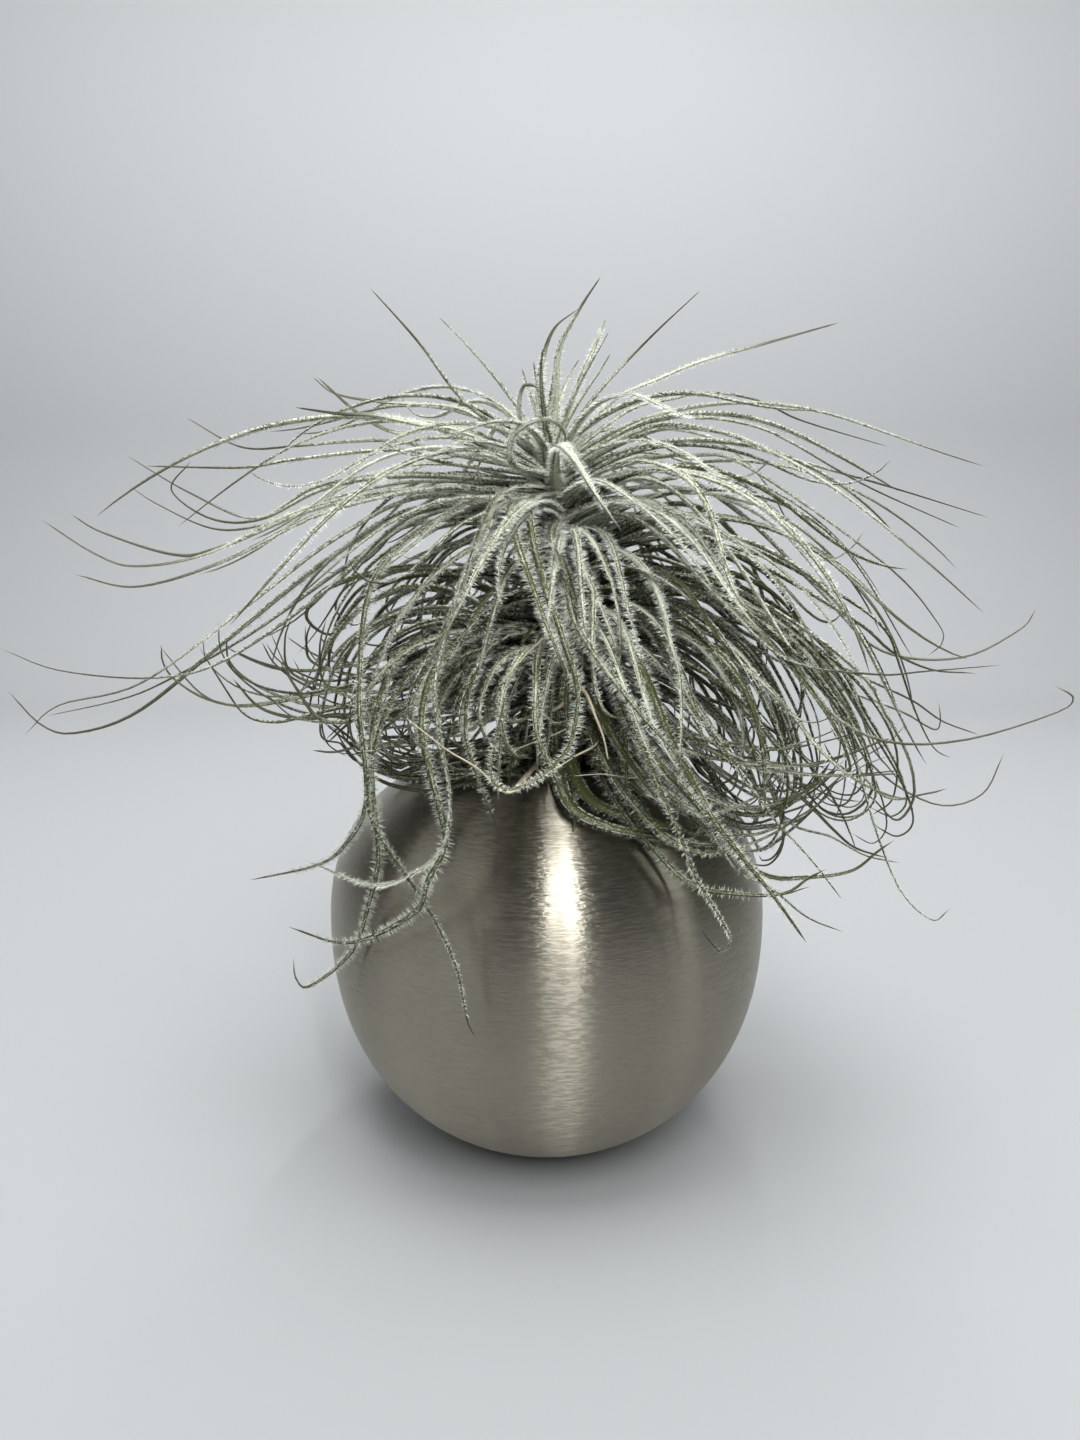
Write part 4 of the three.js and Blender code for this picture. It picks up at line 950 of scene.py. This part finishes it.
def hair_spikes(leaves, per_mm, longest, whiteness_and_painted_shade, seed):
    """Spikes at random places on the blades.

    An edge hair is a straight spike through the section whose two ends pass the edges by a hair's length. A
    face hair starts just under the skin and ends its length outside it. Each is thickest at its waist, where
    two of its four corners stand a third of a turn apart, and all are shorter towards the leaf's smooth tip.
    Its shade is a random share of the set's whiteness. That whiteness stands partly for greyer hairs and
    partly for painted shade on the sets deep and low in the plant.
    """
    luck = np.random.default_rng(seed)
    hairy = leaves["length"] * leaves["hairy_to"]
    count = int(per_mm * hairy.sum())
    leaf = luck.choice(len(hairy), count, p=hairy / hairy.sum())
    part = luck.uniform(FIRST_PART, 1, count)
    part = part * (leaves["hairy_to"][leaf] - np.abs(luck.normal(0, PART_SPREAD, count)))
    rings = leaves["lines"].shape[1]
    low = np.minimum((leaves["part"][leaf] <= part[:, None]).sum(axis=1) - 1, rings - 2)
    before, after = leaves["part"][leaf, low], leaves["part"][leaf, low + 1]
    rest = ((part - before) / (after - before))[:, None]

    def at(key):
        """A leaf's value at each hair's place, read between two rings."""
        values = leaves[key].reshape(len(hairy), rings, -1)
        return values[leaf, low] * (1 - rest) + values[leaf, low + 1] * rest

    def lengths():
        """New lengths for all hairs, shorter towards the smooth tips."""
        fading = 1 - TIP_FADING * (part / leaves["hairy_to"][leaf]) ** 3
        return (longest * luck.uniform(*LENGTH_RANGE, count) * fading)[:, None]

    chance = luck.random(count)
    edge = (chance < EDGE_SHARE)[:, None]
    under = (chance >= EDGE_SHARE) & (chance < EDGE_SHARE + UNDER_SHARE)
    across, face, along = at("across"), at("face"), at("along")
    half, depth = at("width") / 2, at("depth")
    x = luck.uniform(-0.8, 0.8, count)
    y = np.where(under, -0.93 + 0.7 * np.abs(x), -0.14 + 0.2 * np.abs(x))
    x = np.where(edge[:, 0], 0, x)[:, None]
    y = np.where(edge[:, 0], luck.uniform(-0.5, -0.3, count), y)[:, None]
    out_x = np.where(edge, 1, np.where(under[:, None], x * 0.9, -x * 0.5))
    out_y = np.where(edge, luck.normal(0, 0.15, (count, 1)), np.where(under[:, None], -0.8, 0.9))
    lean = np.where(edge, luck.normal(0, 0.28, (count, 1)), luck.normal(0.35, 0.25, (count, 1)))
    way = across * out_x + face * out_y + along * lean
    way /= np.linalg.norm(way, axis=1, keepdims=True)
    waist = at("lines") + across * x * half + face * y * depth
    start = waist - way * np.where(edge, half + lengths(), ROOT_DEPTH)
    end = waist + way * np.where(edge, half + lengths(), FACE_HAIR * lengths())
    side = np.cross(way, along + 0.01)
    side /= np.linalg.norm(side, axis=1, keepdims=True)
    other = np.cross(way, side)
    radius = np.where(edge, WAIST_RADIUS, HAIR_RADIUS)
    turn = luck.uniform(0, 2 * np.pi, (count, 1))
    beside = [waist + radius * (np.cos(turn + k) * side + np.sin(turn + k) * other)
              for k in (0, 2 * np.pi / 3)]
    points = np.stack([start, end, *beside], axis=1)
    faces = SPIKE_FACES[None] + 4 * np.arange(count)[:, None, None]
    # the set's whiteness is partly painted shade: hairs of the lower and inner sets are drawn greyer
    shade = np.repeat(whiteness_and_painted_shade * (LEAST_SHADE + (1 - LEAST_SHADE) * luck.random(count)), 4)
    return points.reshape(-1, 3), faces.reshape(-1, 3), {"shade": shade}


hair = Material("leaf_hair", Roughness=0.55, Specular_IOR_Level=0.35)
hair.set(Base_Color=hair.blend(hair.attribute("shade"), HAIR_GREY, HAIR_WHITE))
for seed, (set_name, (per_mm, longest, whiteness_and_painted_shade)) in enumerate(HAIRS.items()):
    points, faces, numbers = hair_spikes(LEAF_SETS[set_name], per_mm, longest, whiteness_and_painted_shade, FIRST_SEED + seed)
    piece = new_piece(f"{set_name}_hairs", points, faces, hair, smooth=False, numbers=numbers)
    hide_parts("leafy_stem")
    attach(piece, "root")
